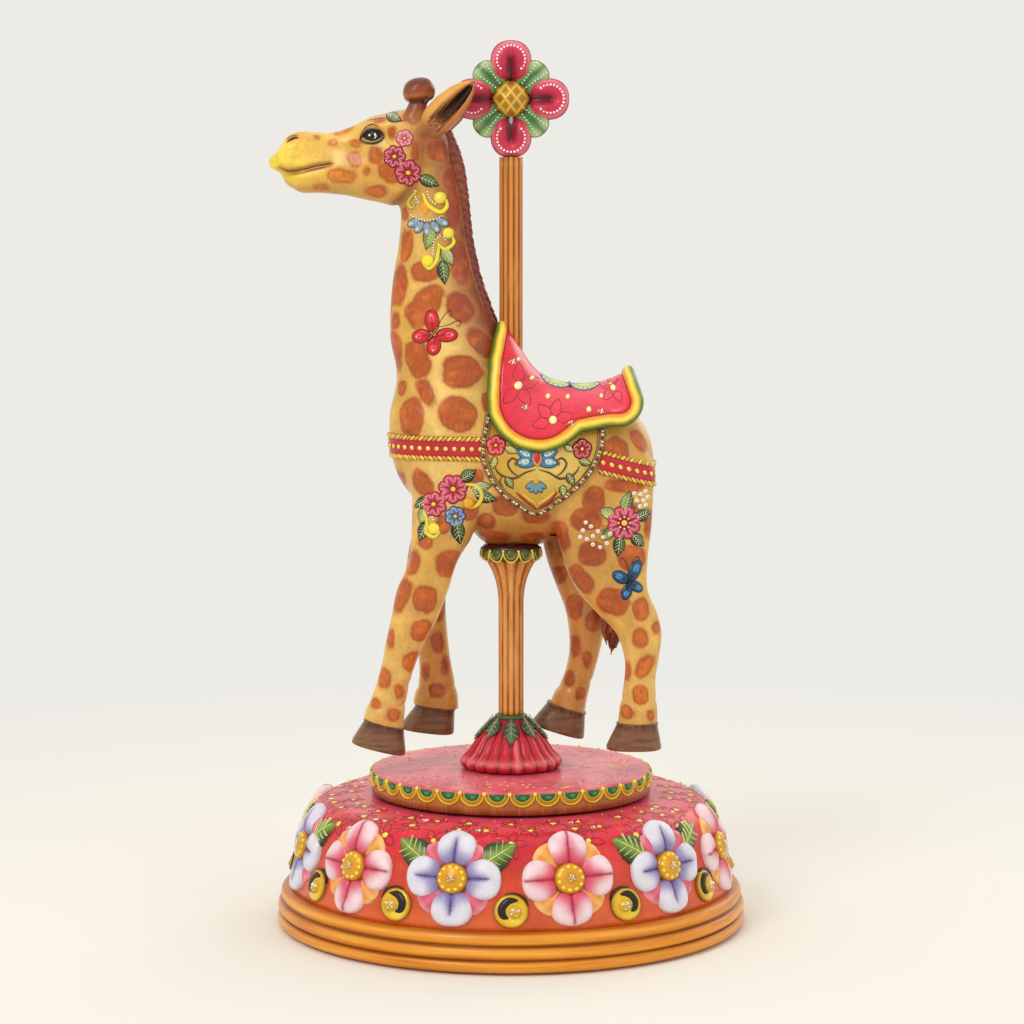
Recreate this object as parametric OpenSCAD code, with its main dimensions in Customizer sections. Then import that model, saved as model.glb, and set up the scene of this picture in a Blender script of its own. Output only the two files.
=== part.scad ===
// Carousel giraffe on a turning stand: a carved and painted wooden figure on a fluted pole,
// over a round drum with carved flowers. The disc, pole and giraffe turn on the drum.
// Millimetres, +Z up. The origin is the centre of the stand's underside.
// The giraffe looks along -X, and its left side faces -Y.

/* [Stand] */
// Widest diameter of the plinth moulding
plinth_d = 240; // [236:1:250]
// Height of the plinth moulding's top
plinth_h = 20; // [19:0.5:21]
// Diameter of the drum's wall at its foot
drum_foot_d = 226; // [224:1:230]
// Height of the drum's flat top, under the disc
drum_h = 66.5; // [66:0.1:66.6]
// Thickness of the drum's wall and top
drum_wall = 10; // [8:0.5:11]
// Thickness of the felt pad under the plinth
felt_t = 1; // [1:0.1:1.5]

/* [Turntable] */
// Diameter of the turning disc
disc_d = 143; // [135:1:148]
// Thickness of the turning disc
disc_t = 11.7; // [11:0.1:11.7]
// Air gap between the disc and the drum
disc_gap = 1; // [0.8:0.1:1.2]

/* [Carved flowers] */
// Number of flowers round the drum, purple and pink in turn
flower_count = 12; // [8:2:12]
// Diameter of one round petal
petal_d = 20; // [18:0.5:20]
// Distance from the flower's centre to each petal's centre
petal_reach = 15; // [14.5:0.5:15.5]
// Diameter of the gold button in the middle
button_d = 16; // [14:0.5:16.5]

/* [Pole] */
// Diameter of the steel rod inside
rod_d = 6; // [6:0.5:6.5]
// Diameter of the fluted pole under the giraffe
lower_pole_d = 12.8; // [12:0.2:14]
// Diameter of the fluted pole above the saddle
upper_pole_d = 11.8; // [11:0.2:12]
// Number of flutes
flute_count = 12; // [10:1:14]
// Height of the pole's upper end, under the finial
pole_top = 390; // [386:1:392]

/* [Figure] */
// Thickness of the harness bands and the blanket over the body
trim_t = 1.6; // [1.4:0.1:2]
// Thickness of the saddle's rind in the side view
rim_w = 4; // [3:0.5:5]
// Width of the mane
mane_w = 5; // [4:0.5:6]
// Diameter of the dowels that join the carved blocks
dowel_d = 5; // [4:0.5:6]
// Diameter of the eyeballs
eye_d = 10; // [9:0.5:10.5]

/* [Hidden] */

$fn = 48;
lump_fn = 22;              // facets round a carved lump
trim_fn = 18;              // facets round a small carved lump
glue_gap = 0.15;           // radial room for glue round a dowel or socket
run_gap = 0.05;            // radial clearance of the rod in its bush
body_gap = 0.3;            // room between the turning and the standing parts
far = 400;                 // larger than the whole object

plinth_r = plinth_d / 2;
drum_foot_r = drum_foot_d / 2;
drum_mid_r = drum_foot_r - 7;
drum_shoulder_r = drum_foot_r - 9;
shoulder_h = drum_h - 4.5;
cavity_r = drum_foot_r - 15;
disc_r = disc_d / 2;
disc_z = drum_h + disc_gap;
disc_top = disc_z + disc_t;
petal_r = petal_d / 2;
button_r = button_d / 2;
rod_r = rod_d / 2;
lower_r = lower_pole_d / 2;
upper_r = upper_pole_d / 2;

// Pole foot, shaped like an upturned strawberry
foot_r = 25.5;
foot_top = 105.5;
calyx_r = 7.6;

// Capital under the belly
capital_z = 185;
capital_r = 14.8;
capital_core_r = 8;
belly_z = 194.5;
rod_top = 300;
rod_foot = 34;
socket_z = 262;

// Finial flower, seen from the side
finial_z = 419;
finial_x = 0;
finial_petal_r = 10;
finial_reach = 19.25;
finial_leaf_r = 7.6;
finial_leaf_reach = 15.6;
ball_r = 9;

// ---------------------------------------------------------------- shared shapes

// A ball at s[0..2] stretched to the half-sizes s[3..5], and made larger all round by grow
module lump(s, grow = 0, fn = lump_fn)
    translate([s[0], s[1], s[2]])
        scale([s[3] + grow, s[4] + grow, s[5] + grow])
            sphere(1, $fn = fn);

// Lumps joined two by two into one smooth limb
module limb(stations, grow = 0, fn = lump_fn)
    for (i = [0:len(stations) - 2])
        hull() {
            lump(stations[i], grow, fn);
            lump(stations[i + 1], grow, fn);
        }

// Everything on the far side of a plane through p, whose normal leans by tilt from +Z towards +X
module beyond(p, tilt)
    translate([p[0], 0, p[1]])
        rotate([0, tilt, 0])
            translate([-far, -far, 0])
                cube(2 * far);

// Everything inside a box from corner a to corner b
module block(a, b)
    translate(a)
        cube(b - a);

// A flat figure drawn in X and Z, given thickness from y0 to y1
module slab(y0, y1)
    translate([0, y1, 0])
        rotate([90, 0, 0])
            linear_extrude(y1 - y0)
                children();

// A strip of width 2 * r along a line of points
module ribbon(points, r)
    for (i = [0:len(points) - 2])
        hull() {
            translate(points[i]) circle(r, $fn = trim_fn);
            translate(points[i + 1]) circle(r, $fn = trim_fn);
        }

// Points on an arc round c, from angle a to angle b
function arc(c, r, a, b, steps = 8) =
    [for (i = [0:steps]) c + r * [cos(a + (b - a) * i / steps), sin(a + (b - a) * i / steps)]];

// Places a child n times round +Z, the first at angle start
module around(n, start = 0)
    for (i = [0:n - 1])
        rotate([0, 0, start + i * 360 / n])
            children();

// ---------------------------------------------------------------- stand

// Radius and height down the drum's outside: top edge, rounded shoulder, wall, foot
function drum_side() = concat(
    [[disc_r, drum_h]],
    arc([drum_shoulder_r - 4, shoulder_h - 1.5], 4, 80, 10),
    [[drum_mid_r, 47], [drum_foot_r, plinth_h]]
);

// Radius of the wall at height z, and its lean from the vertical
function wall_r(z) = drum_foot_r - (z - plinth_h) * (drum_foot_r - drum_mid_r) / (47 - plinth_h);
wall_lean = 13;

module drum_solid()
    rotate_extrude($fn = 240)
        polygon(concat([[0, plinth_h], [0, drum_h]], drum_side()));

module plinth_moulding()
    color("#d8861f")
        rotate_extrude($fn = 96)
            polygon(concat(
                [[cavity_r, felt_t], [cavity_r, plinth_h], [plinth_r - 4, plinth_h]],
                arc([plinth_r - 5.2, plinth_h - 3.2], 3.3, 70, -70, 5),
                arc([plinth_r - 3.6, plinth_h - 9.6], 3.3, 70, -70, 5),
                arc([plinth_r - 3.2, 4.2], 3.2, 70, -60, 5)
            ));

module drum()
    color("#e0402a")
        difference() {
            drum_solid();
            translate([0, 0, plinth_h - 1]) cylinder(r = cavity_r, h = drum_h - drum_wall - plinth_h + 1);
            cylinder(r = rod_r + 3, h = far);
            translate([0, 0, drum_h - 1]) cylinder(r = 10, h = 2);
        }

plate_z = felt_t + 0.5;
plate_t = 5;
screw_reach = cavity_r - 9;

module base_plate()
    color("#8a5a2c")
        difference() {
            union() {
                translate([0, 0, plate_z]) cylinder(r = cavity_r, h = plate_t);
                around(4, 45) translate([screw_reach, 0, plate_z + plate_t]) cylinder(r = 6, h = 6);
            }
            around(4, 45) translate([screw_reach, 0, plate_z - 1]) cylinder(r = 1.8, h = plate_t + 5);
            around(4, 45) translate([screw_reach, 0, plate_z - 1]) cylinder(r = 3.6, h = 3);
        }

module base_screws()
    color("#b8a060")
        around(4, 45)
            translate([screw_reach, 0, plate_z])
                difference() {
                    union() {
                        cylinder(r = 3.6, h = 2);
                        cylinder(r = 1.8, h = plate_t + 4);
                    }
                    translate([-0.5, -3, -1]) cube([1, 6, 1.8]);
                }

module felt_pad()
    color("#2f5a3a")
        difference() {
            cylinder(r = plinth_r - 8, h = felt_t);
            around(4, 45) translate([screw_reach, 0, -1]) cylinder(r = 4.5, h = felt_t + 2);
        }

bush_flange_t = 2;

module pivot_bush()
    color("#c9a23a")
        difference() {
            union() {
                translate([0, 0, drum_h - drum_wall]) cylinder(r = rod_r + 3, h = drum_wall);
                translate([0, 0, drum_h - 1]) cylinder(r = 10, h = bush_flange_t);
            }
            translate([0, 0, drum_h - drum_wall - 1]) cylinder(r = rod_r + run_gap, h = drum_wall + 4);
        }

// ---------------------------------------------------------------- carved trim on the drum

flower_z = 46;             // height of a flower's centre on the wall
petal_t = 3.4;             // how far a petal stands out of the wall
button_t = 5.6;            // how far a button stands out of the wall
back_t = 1.8;              // how far a back petal stands out of the wall
sink = 3;                  // depth of each carving's root, cut away by the wall

// Local frame on the wall: X round the drum, Y up the wall, Z outwards.
// The angle is counted from -Y, turning to the right.
module on_wall(angle, z)
    rotate([0, 0, angle - 90])
        translate([wall_r(z), 0, z])
            rotate([0, 90 - wall_lean, 0])
                rotate([0, 0, 90])
                    children();

// A round petal with a domed face
module petal(r, t)
    translate([0, 0, -sink])
        rotate_extrude()
            polygon(concat([[0, 0], [r, 0]], arc([r - t * 0.6, sink + t * 0.4], t * 0.6, 0, 80, 4),
                           [[0, sink + t]]));

// Places a child at each of a flower's four petals, kept square to the round wall
module at_petals(turn, reach)
    for (k = [0:3]) {
        across = reach * cos(turn + 90 * k);
        up = reach * sin(turn + 90 * k);
        on_wall($angle + across / wall_r(flower_z) * 180 / PI, flower_z + up * cos(wall_lean))
            children();
    }

// Places a child at every second flower, from the given one
module every_second(first)
    for (i = [first:2:flower_count - 1]) {
        $angle = (i + 0.5) * 360 / flower_count;
        children();
    }

module petals(first)
    difference() {
        every_second(first) at_petals(0, petal_reach) petal(petal_r, petal_t);
        drum_solid();
        every_second(first) on_wall($angle, flower_z) cylinder(r = button_r, h = 40, center = true);
    }

module back_petals(first)
    difference() {
        every_second(first) at_petals(45, petal_reach * 1.05) petal(petal_r * 0.55, back_t);
        drum_solid();
        every_second(first) at_petals(0, petal_reach) cylinder(r = petal_r + 0.05, h = 40, center = true);
    }

module petals_purple() color("#d8cdf0") petals(1);

module petals_pink() color("#f5b8cc") petals(0);

module back_petals_pink() color("#e0708c") back_petals(1);

module back_petals_yellow() color("#f0a63c") back_petals(0);

module flower_buttons()
    color("#e8b020")
        difference() {
            for (i = [0:flower_count - 1])
                on_wall((i + 0.5) * 360 / flower_count, flower_z)
                    petal(button_r - 0.05, button_t);
            drum_solid();
        }

// A pointed leaf lying on the wall
module wall_leaf(long, wide, t) {
    bow = (long * long / 4 + wide * wide / 4) / wide;
    translate([0, 0, -sink])
        intersection() {
            translate([0, bow - wide / 2, 0]) cylinder(r = bow, h = sink + t, $fn = 64);
            translate([0, wide / 2 - bow, 0]) cylinder(r = bow, h = sink + t, $fn = 64);
        }
}

leaf_z = 60;
leaf_shift = 2;            // degrees from the gap's middle towards the purple flower
scroll_z = 30;

// The room that the petals take, cut from what lies beside them
module petal_room()
    for (first = [0, 1])
        every_second(first) {
            at_petals(0, petal_reach) cylinder(r = petal_r + 0.1, h = 40, center = true);
            at_petals(45, petal_reach * 1.05) cylinder(r = petal_r * 0.55 + 0.1, h = 40, center = true);
        }

module base_leaves()
    color("#4f8a3a")
        difference() {
            for (i = [0:flower_count - 1])
                on_wall(i * 360 / flower_count + (i % 2 == 0 ? -leaf_shift : leaf_shift), leaf_z)
                    rotate([0, 0, i % 2 == 0 ? 30 : 150])
                        wall_leaf(14.5, 8, 2);
            drum_solid();
            petal_room();
        }

module base_scrolls()
    color("#d8b030")
        difference() {
            for (i = [0:flower_count - 1])
                on_wall(i * 360 / flower_count, scroll_z) petal(6.6, 3);
            drum_solid();
            petal_room();
        }

// ---------------------------------------------------------------- turntable and pole

module turntable_disc()
    color("#d94058")
        difference() {
            rotate_extrude($fn = 96)
                polygon(concat([[0, disc_z], [disc_r, disc_z]],
                               arc([disc_r - 1.5, disc_top - 1.5], 1.5, 0, 90, 4), [[0, disc_top]]));
            translate([0, 0, disc_z - 1])
                cylinder(r = 10 + 3 * body_gap, h = drum_h + bush_flange_t - disc_z + body_gap);
            cylinder(r = rod_r, h = far);
        }

module pole_rod()
    color("silver")
        translate([0, 0, rod_foot]) cylinder(r = rod_r, h = rod_top - rod_foot);

washer_t = 1.5;
washer_z = drum_h - drum_wall - body_gap - washer_t;

module rod_washer()
    color("silver")
        translate([0, 0, washer_z])
            difference() {
                cylinder(r = 11, h = washer_t);
                translate([0, 0, -1]) cylinder(r = rod_r, h = washer_t + 2);
            }

module rod_nut()
    color("gray")
        translate([0, 0, washer_z - 5])
            difference() {
                cylinder(r = 5.8, h = 5, $fn = 6);
                translate([0, 0, -1]) cylinder(r = rod_r, h = 7);
            }

// Radius and height up the foot's outside: a low bulge that draws in to the pole
function foot_side() = concat(
    [[foot_r - 4, disc_top]],
    arc([foot_r - 3.4, disc_top + 3.6], 3.4, -70, 60, 6),
    [[18.5, disc_top + 13.5], [12, disc_top + 20.5], [lower_r, foot_top]]
);

module pole_foot()
    color("#c8283c")
        difference() {
            rotate_extrude() polygon(concat([[0, disc_top]], foot_side(), [[0, foot_top]]));
            cylinder(r = rod_r, h = far);
        }

// Eight pointed leaves that lie over the top of the foot
module foot_calyx()
    color("#6b7a55")
        difference() {
            intersection() {
                rotate_extrude()
                    polygon([[0, 92], [16.8, 92], [13.4, 100], [calyx_r, foot_top + 1.2], [0, foot_top + 1.2]]);
                union() {
                    cylinder(r = calyx_r, h = far);
                    around(8, 22.5)
                        linear_extrude(far)
                            polygon([[0, -4], [9, -3.6], [17, 0], [9, 3.6], [0, 4]]);
                }
            }
            rotate_extrude() polygon(concat([[0, disc_top]], foot_side(), [[0, foot_top]]));
            cylinder(r = lower_r, h = far);
        }

// A round bar with rounded grooves along it
module fluted(r, h)
    difference() {
        cylinder(r = r, h = h);
        around(flute_count)
            translate([r + 0.45, 0, -1])
                cylinder(r = 1.1, h = h + 2, $fn = 16);
    }

module lower_pole()
    color("#e09a3c")
        difference() {
            union() {
                translate([0, 0, foot_top]) fluted(lower_r, 56);
                translate([0, 0, foot_top + 56])
                    rotate_extrude()
                        polygon(concat(
                            [[0, 0], [lower_r, 0]],
                            [for (t = [0.1:0.1:1]) [lower_r + 7 * pow(t, 2.4), t * (capital_z - foot_top - 56)]],
                            [[0, capital_z - foot_top - 56]]));
                translate([0, 0, capital_z]) cylinder(r = capital_core_r, h = belly_z - capital_z);
            }
            cylinder(r = rod_r, h = far);
        }

module capital_ring()
    color("#5f8a48")
        translate([0, 0, capital_z])
            rotate_extrude()
                polygon([[capital_core_r, 0], [capital_r - 1.2, 0], [capital_r, 2.5],
                         [capital_r, belly_z - capital_z - 1.5], [capital_r - 1.5, belly_z - capital_z],
                         [capital_core_r, belly_z - capital_z]]);

module upper_pole()
    color("#d8903a")
        difference() {
            translate([0, 0, socket_z]) fluted(upper_r, pole_top - socket_z);
            cylinder(r = rod_r, h = rod_top);
            cylinder(r = pin_r, h = far);
        }

pin_r = 1.6;
pin_foot = pole_top - 15;

module finial_pin()
    color("silver")
        translate([finial_x, 0, pin_foot]) cylinder(r = pin_r, h = finial_z - 4 - pin_foot);

// A round petal with two domed faces, lying in the plane of X and Z
module finial_disc(r, t)
    rotate([90, 0, 0])
        rotate_extrude()
            polygon(concat([[0, -t / 2]], arc([r - t * 0.4, 0], t * 0.4, -65, 65, 5), [[0, t / 2]]));

// Places a child at four places round the finial's centre
module round_finial(start, reach)
    for (k = [0:3])
        translate([finial_x + reach * cos(start + 90 * k), 0, finial_z + reach * sin(start + 90 * k)])
            children();

module finial_petals()
    color("#d83a58")
        difference() {
            round_finial(0, finial_reach) finial_disc(finial_petal_r, 11);
            cylinder(r = pin_r, h = finial_z);
        }

module finial_leaves()
    color("#7fb27a")
        difference() {
            round_finial(45, finial_leaf_reach) finial_disc(finial_leaf_r, 6);
            round_finial(0, finial_reach) finial_disc(finial_petal_r, 11);
            translate([finial_x, 0, finial_z]) sphere(ball_r);
        }

module finial_ball()
    color("#c99a2a")
        difference() {
            translate([finial_x, 0, finial_z]) sphere(ball_r);
            cylinder(r = pin_r, h = finial_z - 4);
        }

// ---------------------------------------------------------------- giraffe: the whole figure

// Carved lumps as [x, y, z, half-length, half-width, half-height], with y for the right side.
body_lumps = [
    [-29, 0, 246, 32, 25, 36], [-12, 0, 236, 32, 27, 41.5], [8, 0, 232, 30, 27.5, 38.5],
    [26, 0, 234, 30, 27, 37], [42, 0, 236, 30.5, 25.5, 34.5]
];
neck_lumps = [
    [-26, 0, 262, 34, 24, 26], [-28.5, 0, 282, 29.5, 21, 14], [-33, 0, 298, 28, 18.5, 13],
    [-36.5, 0, 314, 24.5, 16, 13], [-38.5, 0, 330, 21, 14, 13], [-39, 0, 346, 17.8, 12.5, 13],
    [-39.5, 0, 362, 16, 12, 13], [-41.5, 0, 378, 15, 12, 13], [-44, 0, 392, 13, 12, 14]
];
head_lumps = [
    [-45, 0, 396, 12.5, 12.5, 15], [-54, 0, 393, 13, 14, 20], [-64, 0, 391, 14, 14, 19],
    [-77, 0, 388, 12, 11.5, 15.5], [-91, 0, 387.5, 10, 9.5, 14.5], [-102, 0, 389.5, 9, 9.5, 13],
    [-108, 0, 389, 8.5, 9.5, 10.5], [-114, 0, 388, 8, 7.5, 5]
];
jaw_lumps = [[-60, 0, 380, 12, 12, 14.5], [-84, 0, 381, 12, 10, 9], [-102, 0, 379.5, 10, 8, 7.5]];
front_left_lumps = [
    [-32, -13, 226, 18, 13, 20], [-33, -15, 206, 17, 12.5, 14], [-39, -17, 188, 12.4, 11, 11],
    [-44.5, -18, 173, 13, 10, 9], [-49, -18.5, 158, 11.7, 9.4, 9], [-53.5, -19, 146, 9.8, 8.4, 8],
    [-57.2, -19, 134, 8.5, 7.6, 8], [-60.6, -19, 122, 8.6, 7.8, 7], [-64, -19, 110, 10.2, 9, 6],
    [-64.5, -19, 104, 10.2, 9, 5]
];
front_right_lumps = [
    [-32, 13, 226, 18, 13, 20], [-33, 15, 206, 17, 12.5, 14], [-41, 17, 188, 12, 11, 11],
    [-44, 18, 173, 10.8, 10, 9], [-43.5, 18.5, 158, 9.8, 9.4, 9], [-41.5, 19, 146, 8.6, 8.4, 8],
    [-39.8, 19, 134, 8.2, 7.6, 8], [-38.6, 19, 122, 9.2, 7.8, 7], [-39, 19, 112, 11.6, 9, 5],
    [-39, 19, 106, 11.6, 9, 5]
];
hind_left_lumps = [
    [46, -13, 226, 26, 14, 26], [46, -15, 206, 25, 13, 16], [47.5, -16, 188, 21.5, 12, 14],
    [51, -17, 173, 18, 11, 11], [58, -17.5, 162, 15.5, 10, 9], [64.5, -18, 151, 11.6, 9, 9],
    [66, -18.5, 138, 8.7, 7.8, 9], [65, -18.5, 126, 8, 7.6, 7], [64.4, -18.5, 111, 9.8, 8.8, 7],
    [64, -18.5, 103, 9.8, 8.8, 5]
];
hind_right_lumps = [
    [44, 13, 226, 26, 14, 26], [40, 15, 206, 25, 13, 16], [38, 16, 188, 20.5, 12, 14],
    [39, 17, 173, 16.5, 11, 11], [39.5, 17.5, 160, 12, 10, 9], [39.2, 18, 148, 9.4, 9, 8],
    [38, 18.5, 136, 8, 7.8, 8], [35, 18.5, 124, 7.8, 7.6, 7], [30.6, 18.5, 113, 9.2, 8.6, 6],
    [29, 18.5, 106, 9.2, 8.6, 5]
];

// Planes where the carved blocks are glued: a point [x, z] and the lean from the horizontal
neck_joint = [-30, 287];
neck_lean = -27;
head_joint = [-44.5, 386];
head_lean = -57;
front_joint_z = 206;
hind_joint_z = 200;
front_edge_x = -12;
hind_edge_x = 10;

// Where each hoof starts: a point [x, z] and its lean
front_left_ankle = [-64, 105.4];
front_left_lean = 14;
front_right_ankle = [-39, 108];
front_right_lean = 7;
hind_left_ankle = [64, 105.6];
hind_left_lean = 0;
hind_right_ankle = [29, 107.6];
hind_right_lean = 17;

nape = [[-33, 399], [-28, 385], [-25.5, 366], [-23.5, 348], [-19, 328], [-11.5, 307], [-7, 297]];

module trunk(grow = 0) {
    limb(body_lumps, grow);
    limb([for (i = [0:3]) neck_lumps[i]], grow);
}

// The mane's strip, which is also the groove that is cut for it
module mane_strip()
    slab(-mane_w / 2, mane_w / 2) ribbon(nape, 4.4);

// Holes and sockets through the blocks for the rod, the poles and the dowels
module body_holes() {
    cylinder(r = rod_r + glue_gap, h = far, $fn = 32);
    cylinder(r = capital_r + 0.05, h = belly_z, $fn = 64);
    translate([0, 0, socket_z]) cylinder(r = upper_r + glue_gap, h = far, $fn = 32);
    dowels(glue_gap, 32);
    mane_strip();
}

dowel_len = 24;

// Dowels across the joints, made fatter by extra
module dowels(extra = 0, fn = 48) {
    for (s = [-1, 1]) {
        translate([-33, 15 * s, front_joint_z]) dowel(extra, fn);
        translate([46, 15 * s, hind_joint_z]) dowel(extra, fn);
        translate([neck_joint[0], 9 * s, neck_joint[1]]) rotate([0, neck_lean, 0]) dowel(extra, fn);
    }
    translate([head_joint[0], 0, head_joint[1]]) rotate([0, head_lean, 0]) dowel(extra, fn);
}

module dowel(extra, fn)
    cylinder(r = dowel_d / 2 + extra, h = dowel_len + 2 * extra, center = true, $fn = fn);

module glue_dowels() color("#c9a878") dowels();

// The legs' share of the figure, below the glue joints
module leg_zone(front, side)
    if (front)
        block([-far, side < 0 ? -far : 0, 0], [front_edge_x, side < 0 ? 0 : far, front_joint_z]);
    else
        block([hind_edge_x, side < 0 ? -far : 0, 0], [far, side < 0 ? 0 : far, hind_joint_z]);

// Shoulders and thighs, where the legs grow out of the body
module upper_legs() {
    limb([front_left_lumps[0], front_left_lumps[1]]);
    limb([front_right_lumps[0], front_right_lumps[1]]);
    limb([hind_left_lumps[0], hind_left_lumps[1]]);
    limb([hind_right_lumps[0], hind_right_lumps[1]]);
}

module torso()
    color("#d9983f")
        difference() {
            union() {
                trunk();
                upper_legs();
            }
            beyond(neck_joint, neck_lean);
            for (s = [-1, 1], front = [true, false])
                leg_zone(front, s);
            body_holes();
        }

module neck()
    color("#e0a548")
        difference() {
            intersection() {
                limb(neck_lumps);
                beyond(neck_joint, neck_lean);
            }
            beyond(head_joint, head_lean);
            body_holes();
        }

module head()
    color("#e6ac4a")
        difference() {
            intersection() {
                union() {
                    limb(head_lumps, 0, trim_fn);
                    limb(jaw_lumps, 0, trim_fn);
                    limb([neck_lumps[7], neck_lumps[8]], 0, trim_fn);
                }
                beyond(head_joint, head_lean);
            }
            dowels(glue_gap, 32);
            mane_strip();
            for (s = [-1, 1]) {
                eyeball(s, glue_gap, 32);
                horn_stem(s, glue_gap, 32);
            }
        }

module mane()
    color("#7a2e22")
        difference() {
            mane_strip();
            translate([0, 0, socket_z]) cylinder(r = upper_r + glue_gap, h = 60);
        }

module eyeball(side, extra = 0, fn = 48)
    translate([-68.3, 9.8 * side, 399.6]) sphere(eye_d / 2 + extra, $fn = fn);

module eye_left() color("#1c1a18") eyeball(-1);

module eye_right() color("#1c1a18") eyeball(1);

horn_x = -48.2;
horn_y = 8.2;

module horn_stem(side, extra = 0, fn = 48)
    translate([horn_x, horn_y * side, 402])
        cylinder(r = 4.6 + extra, h = 20, $fn = fn);

module horn(side)
    union() {
        horn_stem(side);
        translate([horn_x + 1.6, horn_y * side, 422.8])
            rotate_extrude()
                polygon(concat([[0, -5.8]], arc([2.2, 0], 5.8, -90, 90, 12), [[0, 5.8]]));
    }

module horn_left() color("#7c3420") horn(-1);

module horn_right() color("#7c3420") horn(1);

module ear(side)
    difference() {
        limb([[-42, 10 * side, 404, 6, 4, 7], [-33, 14 * side, 412.5, 5.5, 3, 6.5],
              [-26, 15 * side, 419, 4, 2.4, 5.2], [-19.6, 15.4 * side, 425.4, 1.5, 1.4, 1.6]], 0, trim_fn);
        translate([-31, 17.4 * side, 413])
            rotate([0, -45, 0])
                scale([10, 2.2, 3])
                    sphere(1, $fn = trim_fn);
        limb(head_lumps, 0, trim_fn);
        limb([neck_lumps[6], neck_lumps[7], neck_lumps[8]]);
        horn_stem(side, glue_gap, 32);
    }

module ear_left() color("#c07a3a") ear(-1);

module ear_right() color("#c07a3a") ear(1);

// A leg below its glue joint, down to the hoof
module leg(stations, front, side, ankle, lean)
    difference() {
        intersection() {
            union() {
                limb(stations);
                limb(body_lumps);
            }
            leg_zone(front, side);
            beyond(ankle, lean);
        }
        body_holes();
    }

module leg_front_left()
    color("#e2a748") leg(front_left_lumps, true, -1, front_left_ankle, front_left_lean);

module leg_front_right()
    color("#e2a748") leg(front_right_lumps, true, 1, front_right_ankle, front_right_lean);

module leg_hind_left()
    color("#e2a748") leg(hind_left_lumps, false, -1, hind_left_ankle, hind_left_lean);

module leg_hind_right()
    color("#e2a748") leg(hind_right_lumps, false, 1, hind_right_ankle, hind_right_lean);

hoof_top = [10.2, 9];      // half-length and half-width where the hoof meets the leg
hoof_sole = [14, 11];      // the same at the sole
hoof_h = 13.5;

module hoof(ankle, lean, side, shift = -2)
    color("#5a3428")
        translate([ankle[0], 18.8 * side, ankle[1]])
            rotate([0, lean, 0])
                hull() {
                    translate([0, 0, -0.5])
                        scale([hoof_top[0], hoof_top[1], 1]) cylinder(r = 1, h = 0.5, $fn = 32);
                    translate([shift, 0, -hoof_h])
                        scale([hoof_sole[0], hoof_sole[1], 1]) cylinder(r = 1, h = 1.5, $fn = 32);
                }

module hoof_front_left() hoof(front_left_ankle, front_left_lean, -1, 0);

module hoof_front_right() hoof(front_right_ankle, front_right_lean, 1, -3.4);

module hoof_hind_left() hoof(hind_left_ankle, hind_left_lean, -1);

module hoof_hind_right() hoof(hind_right_ankle, hind_right_lean, 1, -1);

tail_lumps = [
    [66, 0, 234, 6, 4, 6], [66.5, 0, 219, 3.4, 3, 4], [64, 0, 199, 3, 2.8, 4], [58.5, 0, 178, 2.6, 2.6, 4],
    [55.5, 0, 165, 2.6, 2.6, 3]
];
tuft_lumps = [[55.5, 0, 165, 3.4, 3.2, 3], [53, 0, 152, 5.6, 4.6, 7], [51.8, 0, 141, 2.4, 2, 3]];

module tail()
    color("#9a4a26")
        difference() {
            limb(tail_lumps, 0, trim_fn);
            limb(body_lumps);
            beyond([55.5, 165], 180);
        }

module tail_tuft()
    color("#6b2f22")
        intersection() {
            limb(tuft_lumps, 0, trim_fn);
            beyond([55.5, 165], 180);
        }

// ---------------------------------------------------------------- saddle, blanket and bands

// The saddle's outer form: arches across the back, as [x, height of the seat]
saddle_arches = [[-12, 300], [-5, 307], [2, 300], [6, 291], [12, 283], [20, 277.5], [34, 275],
                 [46, 276.5], [54, 280], [61, 284], [67, 284]];
saddle_half_w = 30.5;
saddle_low_z = 240;

module saddle_form(grow = 0)
    for (i = [0:len(saddle_arches) - 2])
        hull() {
            saddle_arch(saddle_arches[i], grow);
            saddle_arch(saddle_arches[i + 1], grow);
        }

module saddle_arch(a, grow)
    translate([a[0], 0, saddle_low_z])
        rotate([0, 90, 0])
            scale([a[1] - saddle_low_z + grow, saddle_half_w + grow, 1])
                cylinder(r = 1, h = 0.1, center = true, $fn = 32);

// The saddle's flap in the side view: front edge, round bottom, notch and raised back
module saddle_outline(inset = 0)
    offset(r = 3, $fn = 24) offset(delta = -3 - inset)
        polygon(concat(
            [[-4, 325], [-11, 291], [-12, 274]],
            arc([14, 269.5], 26.3, 190, 298, 10),
            [[34, 249], [37.5, 253.4], [52, 256]],
            arc([54, 268.5], 12.3, 285, 370, 6),
            [[60, 292], [60, 325]]));

module saddle_zone(inset = 0)
    slab(-far, far) saddle_outline(inset);

module saddle_holes() {
    cylinder(r = rod_r + glue_gap, h = far, $fn = 32);
    translate([0, 0, socket_z]) cylinder(r = upper_r + glue_gap, h = far, $fn = 32);
    mane_strip();
}

module saddle_seat()
    color("#d8283f")
        difference() {
            intersection() {
                saddle_form();
                saddle_zone(rim_w);
            }
            trunk();
            saddle_holes();
        }

module saddle_rim()
    color("#b9c04a")
        difference() {
            intersection() {
                saddle_form(1);
                saddle_zone();
            }
            saddle_zone(rim_w);
            trunk();
            saddle_holes();
        }

// The blanket's outline under the saddle, in the side view
module blanket_outline()
    offset(r = 4, $fn = 24) offset(delta = -4)
        polygon([[-14, 262], [-15.5, 246], [-13.5, 233], [-5, 221.5], [11.5, 211], [28, 219.5],
                 [40, 231], [46.6, 245], [47, 262]]);

// The room that the whole saddle takes
module saddle_room()
    intersection() {
        saddle_form(1);
        saddle_zone();
    }

module blanket(side)
    color("#e0b93c")
        difference() {
            intersection() {
                limb(body_lumps, trim_t);
                slab(side < 0 ? -far : 4, side < 0 ? -4 : far) blanket_outline();
            }
            trunk();
            upper_legs();
            saddle_room();
        }

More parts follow.
